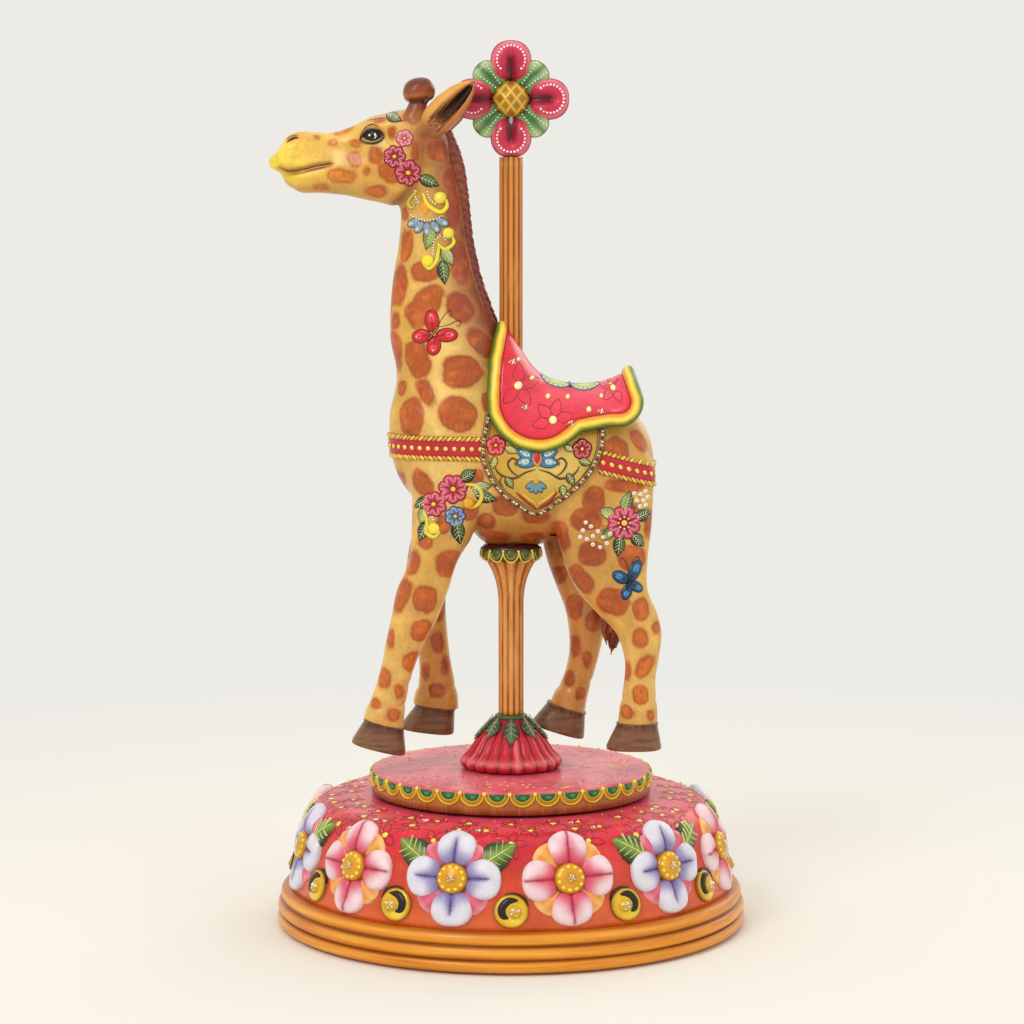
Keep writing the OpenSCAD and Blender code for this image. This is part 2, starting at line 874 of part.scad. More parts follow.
module blanket_left() blanket(-1);

module blanket_right() blanket(1);

module blanket_zone()
    slab(-far, far) blanket_outline();

module front_band()
    color("#b8203a")
        difference() {
            intersection() {
                union() {
                    limb(body_lumps, trim_t);
                    limb([neck_lumps[0], neck_lumps[1]], trim_t);
                }
                slab(-far, far) polygon([[-80, 239.5], [-80, 251.5], [-10, 250.5], [-10, 238.5]]);
            }
            limb(body_lumps);
            limb([neck_lumps[0], neck_lumps[1]]);
            upper_legs();
            blanket_zone();
            saddle_room();
        }

module rear_band()
    color("#b8203a")
        difference() {
            intersection() {
                limb(body_lumps, trim_t);
                slab(-far, far) polygon([[38, 234], [38, 246], [80, 235.5], [80, 222]]);
            }
            limb(body_lumps);
            upper_legs();
            limb(tail_lumps, 0.2, trim_fn);
            blanket_zone();
            saddle_room();
        }

// ---------------------------------------------------------------- one sub-part at a time

plinth_moulding();
drum();
base_plate();
base_screws();
felt_pad();
pivot_bush();
petals_purple();
petals_pink();
back_petals_pink();
back_petals_yellow();
flower_buttons();
base_leaves();
base_scrolls();
turntable_disc();
pole_rod();
rod_washer();
rod_nut();
pole_foot();
foot_calyx();
lower_pole();
capital_ring();
upper_pole();
finial_pin();
finial_petals();
finial_leaves();
finial_ball();
torso();
neck();
head();
mane();
ear_left();
ear_right();
horn_left();
horn_right();
eye_left();
eye_right();
leg_front_left();
leg_front_right();
leg_hind_left();
leg_hind_right();
hoof_front_left();
hoof_front_right();
hoof_hind_left();
hoof_hind_right();
tail();
tail_tuft();
saddle_seat();
saddle_rim();
blanket_left();
blanket_right();
front_band();
rear_band();
glue_dowels();
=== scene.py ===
"""Carved and painted carousel giraffe on a turning stand.

The builders below work in millimetres, in the CAD frame: +Z up, the giraffe looks along -X and its left
side faces -Y. piece() turns them into metres. Painted motifs are drawn flat, as (across, up, height)
points, and a chart lays them on the surface that carries them.
"""

import math

import bmesh
import bpy
import numpy as np
from mathutils import Matrix, Vector
from mathutils.bvhtree import BVHTree


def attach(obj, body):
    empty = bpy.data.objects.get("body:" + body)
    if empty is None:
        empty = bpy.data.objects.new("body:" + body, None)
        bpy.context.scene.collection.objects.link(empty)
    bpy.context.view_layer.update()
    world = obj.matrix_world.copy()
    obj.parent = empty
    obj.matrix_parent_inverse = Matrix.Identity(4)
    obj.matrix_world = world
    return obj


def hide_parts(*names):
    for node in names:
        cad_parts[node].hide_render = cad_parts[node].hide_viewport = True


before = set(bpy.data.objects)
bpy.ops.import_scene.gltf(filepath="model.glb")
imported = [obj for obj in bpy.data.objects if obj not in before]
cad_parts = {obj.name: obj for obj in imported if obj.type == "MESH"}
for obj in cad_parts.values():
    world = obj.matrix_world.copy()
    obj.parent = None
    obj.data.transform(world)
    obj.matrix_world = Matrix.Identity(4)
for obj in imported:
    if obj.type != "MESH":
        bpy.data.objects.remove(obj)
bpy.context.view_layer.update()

MM = 0.001
TAU = 2 * math.pi
BASE = "base"
CAROUSEL = "carousel"
random = np.random.default_rng(7)

# The lacquer's part in every material
COAT_SHARE = 0.3
COAT_ROUGHNESS = 0.18
SPECULAR = 0.34
BUMP_DEPTH = 0.0004


# ---------------------------------------------------------------- materials

def linear(code):
    """A hex colour such as "d8861f" as the linear values that shaders use."""
    values = [int(code[i:i + 2], 16) / 255 for i in (0, 2, 4)]
    return [v / 12.92 if v <= 0.04045 else ((v + 0.055) / 1.055) ** 2.4 for v in values]


def heading(angle):
    """The cosine and sine of an angle in degrees."""
    return math.cos(math.radians(angle)), math.sin(math.radians(angle))


def circle(count):
    """Evenly spaced angles round a circle, in radians."""
    return np.linspace(0, TAU, count, endpoint=False)


def unit_rows(vectors):
    """The same directions with a length of 1."""
    return vectors / np.linalg.norm(vectors, axis=1)[:, None]


def run_along(path):
    """The distance along a line, at each of its points."""
    return np.concatenate([[0], np.cumsum(np.linalg.norm(np.diff(path, axis=0), axis=1))])


def on_path(at, run, path):
    """The points of a line at these distances along it, run being what run_along gives."""
    return np.stack([np.interp(at, run, column) for column in path.T], -1)


def from_axis(points):
    """Each point's distance from the Z axis."""
    return np.hypot(points[:, 0], points[:, 1])


def round_axis(points):
    """Each point's angle from -Y, in radians."""
    return np.arctan2(points[:, 0], -points[:, 1])


def bell(offset, width):
    """1 where offset is 0, falling to 0 some way past width."""
    return np.exp(-(offset / width) ** 2)


def ramp(values, low, high):
    """0 below low, 1 above high, smooth between."""
    t = np.clip((values - low) / (high - low), 0, 1)
    return t * t * (3 - 2 * t)


def near_to(points, place, reach):
    """1 at a place, falling to 0 some way past reach (one number, or one for each axis)."""
    away = (points - np.array(place)) / np.array(reach)
    return np.exp(-(away ** 2).sum(1))


def blended(colours, weight, code):
    """Colours moved towards another by a weight for each point."""
    weight = np.clip(weight, 0, 1)[:, None]
    return colours * (1 - weight) + np.array(linear(code)) * weight


def painted(points, base, *layers):
    """A colour for each point (or for that many points): a base, then (weight, colour) layers over it."""
    colours = np.tile(linear(base), (points if isinstance(points, int) else len(points), 1))
    for weight, code in layers:
        colours = blended(colours, weight, code)
    return colours


class Look:
    """One procedural material. Its noise is set in the object's own coordinates, in millimetres."""

    def __init__(self, name, roughness, coat, metallic=0.0):
        self.material = bpy.data.materials.new(name)
        self.material.use_nodes = True
        self.tree = self.material.node_tree
        self.shader = self.tree.nodes["Principled BSDF"]
        for socket, value in (("Roughness", roughness), ("Coat Weight", coat * COAT_SHARE),
                              ("Metallic", metallic), ("Specular IOR Level", SPECULAR),
                              ("Coat Roughness", COAT_ROUGHNESS)):
            self.set(socket, value)
        coordinates = self.tree.nodes.new("ShaderNodeTexCoord").outputs["Object"]
        scaled = self.add("ShaderNodeMapping", {"Vector": coordinates, "Scale": [1 / MM] * 3})
        self.place = scaled.outputs["Vector"]

    def add(self, kind, inputs, **settings):
        node = self.tree.nodes.new(kind)
        for key, value in settings.items():
            setattr(node, key, value)
        for key, value in inputs.items():
            self.feed(node.inputs[key], value)
        return node

    def feed(self, socket, value):
        if isinstance(value, bpy.types.NodeSocket):
            self.tree.links.new(value, socket)
        elif isinstance(value, str):
            socket.default_value = linear(value) + [1]
        else:
            socket.default_value = value

    def set(self, name, value):
        self.feed(self.shader.inputs[name], value)

    def noise(self, size, detail, stretch=(1, 1, 1), place=None):
        """Smooth noise from 0 to 1. Its blobs are about size millimetres across, times stretch."""
        scale = [1 / (size * s) for s in stretch]
        at = self.add("ShaderNodeMapping", {"Vector": place or self.place, "Scale": scale})
        return self.add("ShaderNodeTexNoise", {"Vector": at.outputs["Vector"], "Scale": 1, "Detail": detail}
                        ).outputs["Fac"]

    def calc(self, operation, a, b=0.0):
        return self.add("ShaderNodeMath", {0: a, 1: b}, operation=operation).outputs[0]

    def times(self, a, b):
        return self.calc("MULTIPLY", a, b)

    def plus(self, a, b):
        return self.calc("ADD", a, b)

    def length(self, x, y):
        return self.calc("SQRT", self.plus(self.times(x, x), self.times(y, y)))

    def step(self, value, low, high):
        """0 below low, 1 above high, smooth between."""
        return self.add("ShaderNodeMapRange", {"Value": value, "From Min": low, "From Max": high},
                        interpolation_type="SMOOTHSTEP").outputs["Result"]

    def mix(self, factor, a, b, blend="MIX"):
        node = self.add("ShaderNodeMix", {0: factor, 6: a, 7: b}, data_type="RGBA", blend_type=blend)
        return node.outputs[2]

    def ramp(self, factor, *stops):
        """Colours along factor, given as (place, colour)."""
        node = self.add("ShaderNodeValToRGB", {"Fac": factor})
        elements = node.color_ramp.elements
        while len(elements) < len(stops):
            elements.new(0.5)
        for element, (place, colour) in zip(elements, stops):
            element.position = place
            element.color = linear(colour) + [1]
        return node.outputs["Color"]

    def attribute(self, name, output="Fac"):
        return self.add("ShaderNodeAttribute", {}, attribute_name=name).outputs[output]

    def tint(self):
        """The piece's own colour at each point."""
        return self.attribute("tint", "Color")

    def join(self, *values):
        return self.add("ShaderNodeCombineXYZ", dict(enumerate(values))).outputs[0]

    def shade(self, value, low, high, dark, light):
        """A multiplier that goes from dark to light as value goes from low to high."""
        return self.add("ShaderNodeMapRange", {"Value": value, "From Min": low, "From Max": high,
                                               "To Min": dark, "To Max": light}).outputs["Result"]

    def turned(self):
        """Place measured round the Z axis, as (angle * 100, radius, height), with its seam at the back."""
        split = self.add("ShaderNodeSeparateXYZ", {"Vector": self.place})
        x, y, z = split.outputs
        angle = self.times(self.calc("ARCTAN2", x, self.times(y, -1.0)), 100.0)
        return self.join(angle, self.length(x, y), z)

    def bump(self, height, strength):
        node = self.add("ShaderNodeBump", {"Height": height, "Strength": strength, "Distance": BUMP_DEPTH})
        self.set("Normal", node.outputs["Normal"])

    def colour(self, value):
        self.set("Base Color", value)
        return self.material


def brushed(name, roughness, depth, coat=0.5, streak=(1, 1, 1), grit=0.25, metallic=0.0, warmth=0.1):
    """Hand-laid paint: the piece's own tint, cloudy and streaked, with brush marks under lacquer."""
    look = Look(name, roughness, coat, metallic)
    cloud = look.noise(6, 4)
    strokes = look.noise(0.9, 4, streak)
    shade = look.shade(look.plus(cloud, look.times(strokes, 0.8)), 0.55, 1.25, 1 - depth, 1 + depth * 0.7)
    grey = look.join(shade, shade, look.times(shade, 1 - warmth))
    look.bump(look.plus(strokes, look.times(cloud, 0.6)), grit)
    look.set("Roughness", look.plus(look.times(strokes, 0.22), roughness - 0.1))
    return look.colour(look.mix(1.0, look.tint(), grey, "MULTIPLY"))


# ---------------------------------------------------------------- shapes

class Shape:
    """Points in millimetres, faces and a colour for each point, gathered before they become one piece."""

    def __init__(self):
        self.points = []
        self.faces = []
        self.tints = []
        self.count = 0

    def add(self, points, faces, tint="ffffff"):
        points = np.asarray(points, float)
        if np.ndim(tint) < 2:
            tint = np.tile(linear(tint) if isinstance(tint, str) else tint, (len(points), 1))
        self.points.append(points)
        self.tints.append(np.asarray(tint, float))
        self.faces.extend([[i + self.count for i in face] for face in faces])
        self.count += len(points)
        return self

    def lay(self, chart, motif, tint, lift=0, flip=False):
        """Adds a flat motif, laid on a surface by its chart, that much further out.

        flip turns its faces over, for a chart that mirrors."""
        flat, faces = motif
        return self.add(chart(flat + [0, 0, lift]), [face[::-1] for face in faces] if flip else faces, tint)


def grid_faces(rows, columns, closed=True, flip=False):
    """Quads between rows of points, each row closed into a ring unless told otherwise."""
    faces = []
    for i in range(rows - 1):
        for j in range(columns if closed else columns - 1):
            k = (j + 1) % columns
            quad = [i * columns + j, i * columns + k, (i + 1) * columns + k, (i + 1) * columns + j]
            faces.append(quad[::-1] if flip else quad)
    return faces


def loft(rings):
    """Rings of points, each the same length, joined into a skin with flat ends."""
    rings = np.asarray(rings, float)
    rows, columns = rings.shape[:2]
    faces = grid_faces(rows, columns)
    faces.append(list(range(columns))[::-1])
    faces.append([(rows - 1) * columns + j for j in range(columns)])
    return rings.reshape(-1, 3), faces


def domed(rows, apex, flip=False):
    """Rings of points joined into a skin that closes on an apex."""
    count = len(rows[0])
    faces = grid_faces(len(rows), count, flip=flip)
    last = (len(rows) - 1) * count
    closing = [[last + j, last + (j + 1) % count, last + count] for j in range(count)]
    return np.vstack([*rows, [apex]]), faces + [face[::-1] if flip else face for face in closing]


def spline(table, steps):
    """The rows of a table with smooth rows between them."""
    t = np.array(table, float)
    padded = np.vstack([2 * t[0] - t[1], t, 2 * t[-1] - t[-2]])
    rows = []
    for i in range(len(t) - 1):
        a, b, c, d = padded[i:i + 4]
        for k in range(steps):
            u = k / steps
            rows.append(0.5 * (2 * b + (c - a) * u + (2 * a - 5 * b + 4 * c - d) * u ** 2
                               + (3 * b - 3 * c + d - a) * u ** 3))
    rows.append(t[-1])
    return np.array(rows)


def arc(x, y, radius, start, end, steps):
    """Points on a circle, with angles in degrees."""
    angles = np.radians(np.linspace(start, end, steps + 1))
    return [(x + radius * math.cos(a), y + radius * math.sin(a)) for a in angles]


def lathe(profile, count, ripple):
    """A profile of (radius, height) turned round Z. ripple(angle, height) scales the radius."""
    angles = circle(count)
    rings = []
    for radius, height in profile:
        r = np.full(count, float(radius))
        if ripple is not None:
            r = r * ripple(angles, height)
        rings.append(np.stack([r * np.sin(angles), -r * np.cos(angles), np.full(count, float(height))], 1))
    return loft(rings)


def tube(path, radii, sides):
    """A round bar along a line of points, with one radius for each point."""
    path = np.asarray(path, float)
    radii = np.broadcast_to(np.asarray(radii, float), (len(path),))
    along = unit_rows(np.gradient(path, axis=0))
    side = np.cross(along[0], (0.3, 0.9, 0.2))
    turns = circle(sides)
    rings = []
    for centre, axis, radius in zip(path, along, radii):
        side = side - axis * (side @ axis)
        side /= np.linalg.norm(side)
        other = np.cross(axis, side)
        rings.append(centre + radius * (np.cos(turns)[:, None] * side + np.sin(turns)[:, None] * other))
    return loft(rings)


# ---------------------------------------------------------------- flat motifs, as (across, up, height)

def turn(points, angle, x=0.0, y=0.0):
    """Flat points turned by an angle in degrees, then moved."""
    c, s = heading(angle)
    out = np.array(points, float)
    out[:, 0], out[:, 1] = (c * points[:, 0] - s * points[:, 1] + x, s * points[:, 0] + c * points[:, 1] + y)
    return out


def pad(outline, rise, x=0.0, y=0.0, angle=0.0, rings=4):
    """A domed pad of paint or wood inside an outline drawn round (0, 0). Its edge meets the surface."""
    outline = np.asarray(outline, float)
    rows = [np.column_stack([outline, np.full(len(outline), -0.15)])]
    for k in range(1, rings + 1):
        u = math.sin(0.5 * math.pi * k / (rings + 0.6))
        rows.append(np.column_stack([outline * (1 - u ** 2) if k > 1 else outline * 0.985,
                                     np.full(len(outline), rise * u ** 0.5)]))
    points, faces = domed(rows, (0, 0, rise))
    return turn(points, angle, x, y), faces


def oval(a, b, count=16):
    """A closed outline round (0, 0)."""
    return np.column_stack([a * np.cos(circle(count)), b * np.sin(circle(count))])


def dab(x, y, a, b=None, rise=0.35, angle=0.0, count=14):
    """A round or oval dab of paint."""
    return pad(oval(a, b or a, count), rise, x, y, angle, rings=3)


def half_oval(a, b, y, count):
    """The lower half of an oval, as a line from its left end to its right end, with its middle at y."""
    return [(a * math.cos(t), y + b * math.sin(t)) for t in np.linspace(math.pi, TAU, count)]


def leaf_outline(length, width, notch=0.0, count=12):
    """A leaf along the first axis, widest near its stem, with a slightly toothed edge."""
    u = np.linspace(0, 1, count)
    half = width / 2 * np.sin(np.pi * u ** 0.8) * (1 + notch * np.sin(u * count * 2.2))
    x = (u - 0.45) * length
    upper = np.column_stack([x, half])
    lower = np.column_stack([x[::-1], -half[::-1]])[1:-1]
    return np.vstack([lower, upper])


def line(points, width, rise, taper=0.35, steps=5, smooth=True):
    """A brush stroke along flat points: round in section, thinner at its ends by taper."""
    path = spline(points, steps) if smooth and len(points) > 2 else np.array(points, float)
    if len(path) == 2:
        path = np.linspace(path[0], path[1], 4)
    along = np.gradient(path, axis=0)
    along /= np.linalg.norm(along, axis=1)[:, None] + 1e-9
    across = np.column_stack([-along[:, 1], along[:, 0]])
    u = np.linspace(0, 1, len(path))
    half = width / 2 * (1 - (1 - taper) * np.abs(2 * u - 1) ** 3)
    section = np.array([(-1, -0.15), (-0.75, 0.7), (0, 1), (0.75, 0.7), (1, -0.15)])
    rows = [np.column_stack([path + across * (half * s)[:, None],
                             np.full(len(path), rise * h if h > 0 else h)]) for s, h in section]
    points = np.stack(rows, 1).reshape(-1, 3)
    return points, grid_faces(len(path), len(section), closed=False, flip=True)


# ---------------------------------------------------------------- charts

OUTSIDE = 90  # clear of the figure, measured from its middle plane or axis


def lifted(chart, height):
    """The same chart, that much further out."""
    return lambda flat: chart(flat + [0, 0, height])


def sight_chart(tree, side):
    """Lays (x, z, height) on a surface as seen from one side, side being -1 for the giraffe's left."""
    def chart(flat):
        out = np.empty((len(flat), 3))
        for i, (x, z, h) in enumerate(flat):
            hit, normal, _, _ = tree.ray_cast(Vector((x, side * OUTSIDE, z)), Vector((0, -side, 0)))
            if hit is None:
                hit, normal, _, _ = tree.find_nearest(Vector((x, side * 12, z)))
            if normal.y * side < 0:
                normal = -normal
            out[i] = hit + normal * h
        return out
    return chart


def round_chart(tree, centre_x):
    """Lays (angle in degrees from -Y towards -X, z, height) on a surface as seen from a vertical axis."""
    def chart(flat):
        out = np.empty((len(flat), 3))
        for i, (angle, z, h) in enumerate(flat):
            c, s = heading(angle)
            away = Vector((-s, -c, 0))
            hit, normal, _, _ = tree.ray_cast(Vector((centre_x, 0, z)) + away * OUTSIDE, -away)
            out[i] = hit + normal * h
        return out
    return chart


# ---------------------------------------------------------------- pieces

def piece(name, shape, material, body, slot, *nodes, smooth=True, values=None, normals=None):
    """Turns a shape, or its (points, faces, tint), into an object that rides on a body.

    nodes are the CAD nodes that it stands for.
    values adds named numbers for each point, which the material reads."""
    if isinstance(shape, tuple):
        shape = Shape().add(*shape)
    points = np.vstack(shape.points)
    mesh = bpy.data.meshes.new(name)
    mesh.from_pydata((points * MM).tolist(), [], shape.faces)
    mesh.update()
    tint = mesh.attributes.new("tint", "FLOAT_COLOR", "POINT")
    colours = np.column_stack([np.vstack(shape.tints), np.ones(len(points))])
    tint.data.foreach_set("color", colours.astype(np.float32).ravel())
    for key, data in (values or {}).items():
        layer = mesh.attributes.new(key, "FLOAT", "POINT")
        layer.data.foreach_set("value", np.asarray(data, np.float32))
    if smooth:
        mesh.shade_smooth()
    if normals is not None:
        mesh.normals_split_custom_set_from_vertices(normals.tolist())
    mesh.materials.append(material)
    obj = bpy.data.objects.new(name, mesh)
    bpy.context.collection.objects.link(obj)
    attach(obj, body)
    if nodes:
        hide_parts(*nodes)
    return obj


# ---------------------------------------------------------------- smooth carved volumes

class Volume:
    """A block of space that holds the distance to a carved surface, negative inside."""

    def __init__(self, low, high, step):
        self.low = np.array(low, float)
        self.step = step
        self.axes = [np.arange(a, b, step, dtype=np.float32) for a, b in zip(low, high)]
        self.value = np.full([len(a) for a in self.axes], 40, np.float32)

    def part(self, low, high):
        """The slices that cover a box, and the points in it."""
        cut = tuple(slice(max(0, int((a - o) / self.step)), max(0, int((b - o) / self.step) + 2))
                    for a, b, o in zip(low, high, self.low))
        return cut, np.stack(np.meshgrid(*[axis[c] for axis, c in zip(self.axes, cut)], indexing="ij"), -1)

    def limb(self, stations, blend, carve=False):
        """Joins a row of lumps [x, y, z, half-sizes], or cuts it away, with a fillet of about blend.

        Each slice across the row's longest way is an ellipse, and the two ends are round."""
        rows = spline(stations, 6) if len(stations) > 2 else np.array(stations, float)
        along = int(np.argmax(np.ptp(rows[:, :3], axis=0)))
        rows = rows[np.argsort(rows[:, along])]
        reach = blend + 4
        cut, points = self.part((rows[:, :3] - rows[:, 3:]).min(0) - reach,
                                (rows[:, :3] + rows[:, 3:]).max(0) + reach)
        level = self.axes[along][cut[along]]
        shape = [1, 1, 1]
        shape[along] = len(level)
        k0 = np.zeros(points.shape[:3], np.float32)
        k1 = np.zeros(points.shape[:3], np.float32)
        for axis in range(3):
            centre = np.interp(level, rows[:, along], rows[:, axis]).reshape(shape)
            size = np.interp(level, rows[:, along], rows[:, 3 + axis]).reshape(shape)
            away = (points[..., axis] - centre) / size
            k0 += away ** 2
            k1 += (away / size) ** 2
        k0 = np.sqrt(k0)
        distance = k0 * (k0 - 1) / np.maximum(np.sqrt(k1), 1e-4)
        old = self.value[cut]
        self.value[cut] = -soft_min(-old, distance, blend) if carve else soft_min(old, distance, blend)

    def press(self, path, width, depth, side=0):
        """Presses a soft groove along (x, z) points, or raises a ridge where depth is negative."""
        path = spline(path, 4) if len(path) > 2 else np.array(path, float)
        low = path.min(0) - 3 * width
        high = path.max(0) + 3 * width
        y_low, y_high = self.axes[1][0], self.axes[1][-1]
        cut, points = self.part((low[0], y_low if side <= 0 else 0, low[1]),
                                (high[0], y_high if side >= 0 else 0, high[1]))
        flat = points[:, 0][:, :, [0, 2]]
        away = line_distance(flat, path)
        self.value[cut] += (depth * bell(away, width))[:, None, :]

    def soften(self, radius):
        """Blurs the distances, which rounds every edge a little."""
        reach = int(3 * radius / self.step) + 1
        weights = np.exp(-0.5 * (np.arange(-reach, reach + 1) * self.step / radius) ** 2)
        weights /= weights.sum()
        for axis in range(3):
            padding = [(reach, reach) if k == axis else (0, 0) for k in range(3)]
            wide = np.pad(self.value, padding, mode="edge")
            size = self.value.shape[axis]
            self.value = sum(np.float32(w) * np.take(wide, range(k, k + size), axis)
                             for k, w in enumerate(weights))

    def sample(self, points):
        """The distance at any points."""
        at = (np.asarray(points) - self.low) / self.step
        at = np.clip(at, 0, np.array(self.value.shape) - 1.001)
        cell = at.astype(int)
        part = at - cell
        total = 0
        for corner in np.ndindex(2, 2, 2):
            weight = np.prod(np.where(corner, part, 1 - part), axis=1)
            index = cell + corner
            total = total + weight * self.value[index[:, 0], index[:, 1], index[:, 2]]
        return total

    def normals(self, points):
        """Outward directions at any points."""
        slopes = [self.sample(points + step) - self.sample(points - step) for step in np.eye(3) * 0.8]
        out = np.stack(slopes, 1)
        return out / (np.linalg.norm(out, axis=1)[:, None] + 1e-9)

    def skin(self):
        """Points and quads of the surface where the distance is zero."""
        v = self.value
        size = [n - 1 for n in v.shape]
        corners = {c: v[c[0]:c[0] + size[0], c[1]:c[1] + size[1], c[2]:c[2] + size[2]]
                   for c in np.ndindex(2, 2, 2)}
        inside = sum((corner < 0).astype(np.int8) for corner in corners.values())
        cells = np.argwhere((inside > 0) & (inside < 8))
        index = np.full(size, -1)
        index[tuple(cells.T)] = np.arange(len(cells))
        total = np.zeros((len(cells), 3))
        hits = np.zeros(len(cells))
        for start in np.ndindex(2, 2, 2):
            for axis in range(3):
                if start[axis]:
                    continue
                end = tuple(1 if k == axis else start[k] for k in range(3))
                a = corners[start][tuple(cells.T)]
                b = corners[end][tuple(cells.T)]
                cross = (a < 0) != (b < 0)
                t = np.where(cross, a / np.where(cross, a - b, 1), 0)
                place = np.array(start, float) + t[:, None] * np.eye(3)[axis]
                total += np.where(cross[:, None], place, 0)
                hits += cross
        points = self.low + (cells + total / hits[:, None]) * self.step
        faces = []
        for axis in range(3):
            u, w = (axis + 1) % 3, (axis + 2) % 3
            first = np.take(v, range(v.shape[axis] - 1), axis) < 0
            second = np.take(v, range(1, v.shape[axis]), axis) < 0
            edges = np.argwhere(first != second)
            edges = edges[(edges[:, u] > 0) & (edges[:, w] > 0)]
            outward = first[tuple(edges.T)]
            quad = []
            for du, dw in ((1, 1), (0, 1), (0, 0), (1, 0)):
                cell = edges.copy()
                cell[:, u] -= du
                cell[:, w] -= dw
                ok = (cell[:, u] < size[u]) & (cell[:, w] < size[w])
                cell = np.minimum(cell, np.array(size) - 1)
                quad.append(np.where(ok, index[tuple(cell.T)], -1))
            quad = np.stack(quad, 1)
            quad[~outward] = quad[~outward][:, ::-1]
            faces.append(quad[(quad >= 0).all(1)])
        return points, np.vstack(faces)


def soft_min(a, b, blend):
    """The smaller of two distances, with a fillet of about blend between them."""
    if blend <= 0:
        return np.minimum(a, b)
    h = np.clip(0.5 + 0.5 * (b - a) / blend, 0, 1)
    return b + (a - b) * h - blend * h * (1 - h)


def line_distance(points, path):
    """Distance from flat points to a line of flat points."""
    best = np.full(points.shape[:-1], 1e6)
    for a, b in zip(path[:-1], path[1:]):
        ab = b - a
        t = np.clip(((points - a) @ ab) / max(ab @ ab, 1e-9), 0, 1)
        best = np.minimum(best, np.linalg.norm(points - a - t[..., None] * ab, axis=-1))
    return best


def outline_distance(points, outline):
    """Signed distance from flat points to a closed outline, negative inside."""
    closed = np.vstack([outline, outline[:1]])
    away = line_distance(points, closed)
    inside = np.zeros(points.shape[:-1], bool)
    for (x0, z0), (x1, z1) in zip(closed[:-1], closed[1:]):
        if z0 == z1:
            continue
        spans = (z0 > points[..., 1]) != (z1 > points[..., 1])
        inside ^= spans & (points[..., 0] < x0 + (points[..., 1] - z0) * (x1 - x0) / (z1 - z0))
    return np.where(inside, -away, away)


# ---------------------------------------------------------------- the figure's carved form

# Lumps as [x, y, z, half-length, half-width, half-height]. They are the CAD model's own, in millimetres.
BODY = [[-29, 0, 246, 32, 25, 36], [-12, 0, 236, 32, 27, 41.5], [8, 0, 232, 30, 27.5, 38.5],
        [26, 0, 234, 30, 27, 37], [42, 0, 236, 30.5, 25.5, 34.5]]
NECK = [[-26, 0, 262, 34, 24, 26], [-28.5, 0, 282, 29.5, 21, 14], [-33, 0, 298, 28, 18.5, 13],
        [-36.5, 0, 314, 24.5, 16, 13], [-38.5, 0, 330, 21, 14, 13], [-39, 0, 346, 17.8, 12.5, 13],
        [-39.5, 0, 362, 16, 12, 13], [-41.5, 0, 378, 15, 12, 13], [-44, 0, 392, 13, 12, 14]]
HEAD = [[-45, 0, 396, 12.5, 12.5, 15.5], [-54, 0, 393.4, 13, 14, 20.4], [-62, 0, 391.8, 13, 13.4, 20.4],
        [-70, 0, 390, 12, 12, 20.4], [-77, 0, 388.8, 12, 11, 18.2], [-84, 0, 388, 11, 10, 16],
        [-91, 0, 387.6, 10, 9, 14.7], [-102, 0, 389.8, 9, 9.4, 13], [-108, 0, 390.6, 8, 9.6, 11.8],
        [-112.8, 0, 390, 6.5, 9, 9.6],
        [-116.4, 0, 388.6, 5, 7.6, 6.4], [-118.6, 0, 387.6, 3.4, 5.8, 4]]
JAW = [[-60, 0, 380, 12, 11, 14.5], [-84, 0, 381, 12, 9, 9], [-102, 0, 379.5, 10, 7.5, 7.5]]
FRONT_LEFT = [[-32, -13, 226, 18, 13, 20], [-33, -15, 206, 17, 12.5, 14], [-39, -17, 188, 12.4, 11, 11],
              [-44.5, -18, 173, 13, 10, 9], [-49, -18.5, 158, 11.7, 9.4, 9], [-53.5, -19, 146, 9.8, 8.4, 8],
              [-57.2, -19, 134, 8.5, 7.6, 8], [-60.6, -19, 122, 8.6, 7.8, 7], [-64, -19, 110, 10.2, 9, 6],
              [-64.5, -19, 102, 10.2, 9, 5]]
FRONT_RIGHT = [[-32, 13, 226, 18, 13, 20], [-33, 15, 206, 17, 12.5, 14], [-41, 17, 188, 12, 11, 11],
               [-44, 18, 173, 10.8, 10, 9], [-43.5, 18.5, 158, 9.8, 9.4, 9], [-41.5, 19, 146, 8.6, 8.4, 8],
               [-39.8, 19, 134, 8.2, 7.6, 8], [-38.6, 19, 122, 9.2, 7.8, 7], [-39, 19, 112, 11.6, 9, 5],
               [-39, 19, 104, 11.6, 9, 5]]
HIND_LEFT = [[46, -13, 226, 26, 14, 26], [46, -15, 206, 25, 13, 16], [47.5, -16, 188, 21.5, 12, 14],
             [51, -17, 173, 18, 11, 11], [58, -17.5, 162, 15.5, 10, 9], [64.5, -18, 151, 11.6, 9, 9],
             [66, -18.5, 138, 8.7, 7.8, 9], [65, -18.5, 126, 8, 7.6, 7], [64.4, -18.5, 111, 9.8, 8.8, 7],
             [64, -18.5, 101, 9.8, 8.8, 5]]
HIND_RIGHT = [[44, 13, 226, 26, 14, 26], [40, 15, 206, 25, 13, 16], [38, 16, 188, 20.5, 12, 14],
              [39, 17, 173, 16.5, 11, 11], [39.5, 17.5, 160, 12, 10, 9], [39.2, 18, 148, 9.4, 9, 8],
              [38, 18.5, 136, 8, 7.8, 8], [35, 18.5, 124, 7.8, 7.6, 7], [30.6, 18.5, 113, 9.2, 8.6, 6],
              [29, 18.5, 104, 9.2, 8.6, 5]]
LEGS = {"front_left": FRONT_LEFT, "front_right": FRONT_RIGHT, "hind_left": HIND_LEFT,
        "hind_right": HIND_RIGHT}

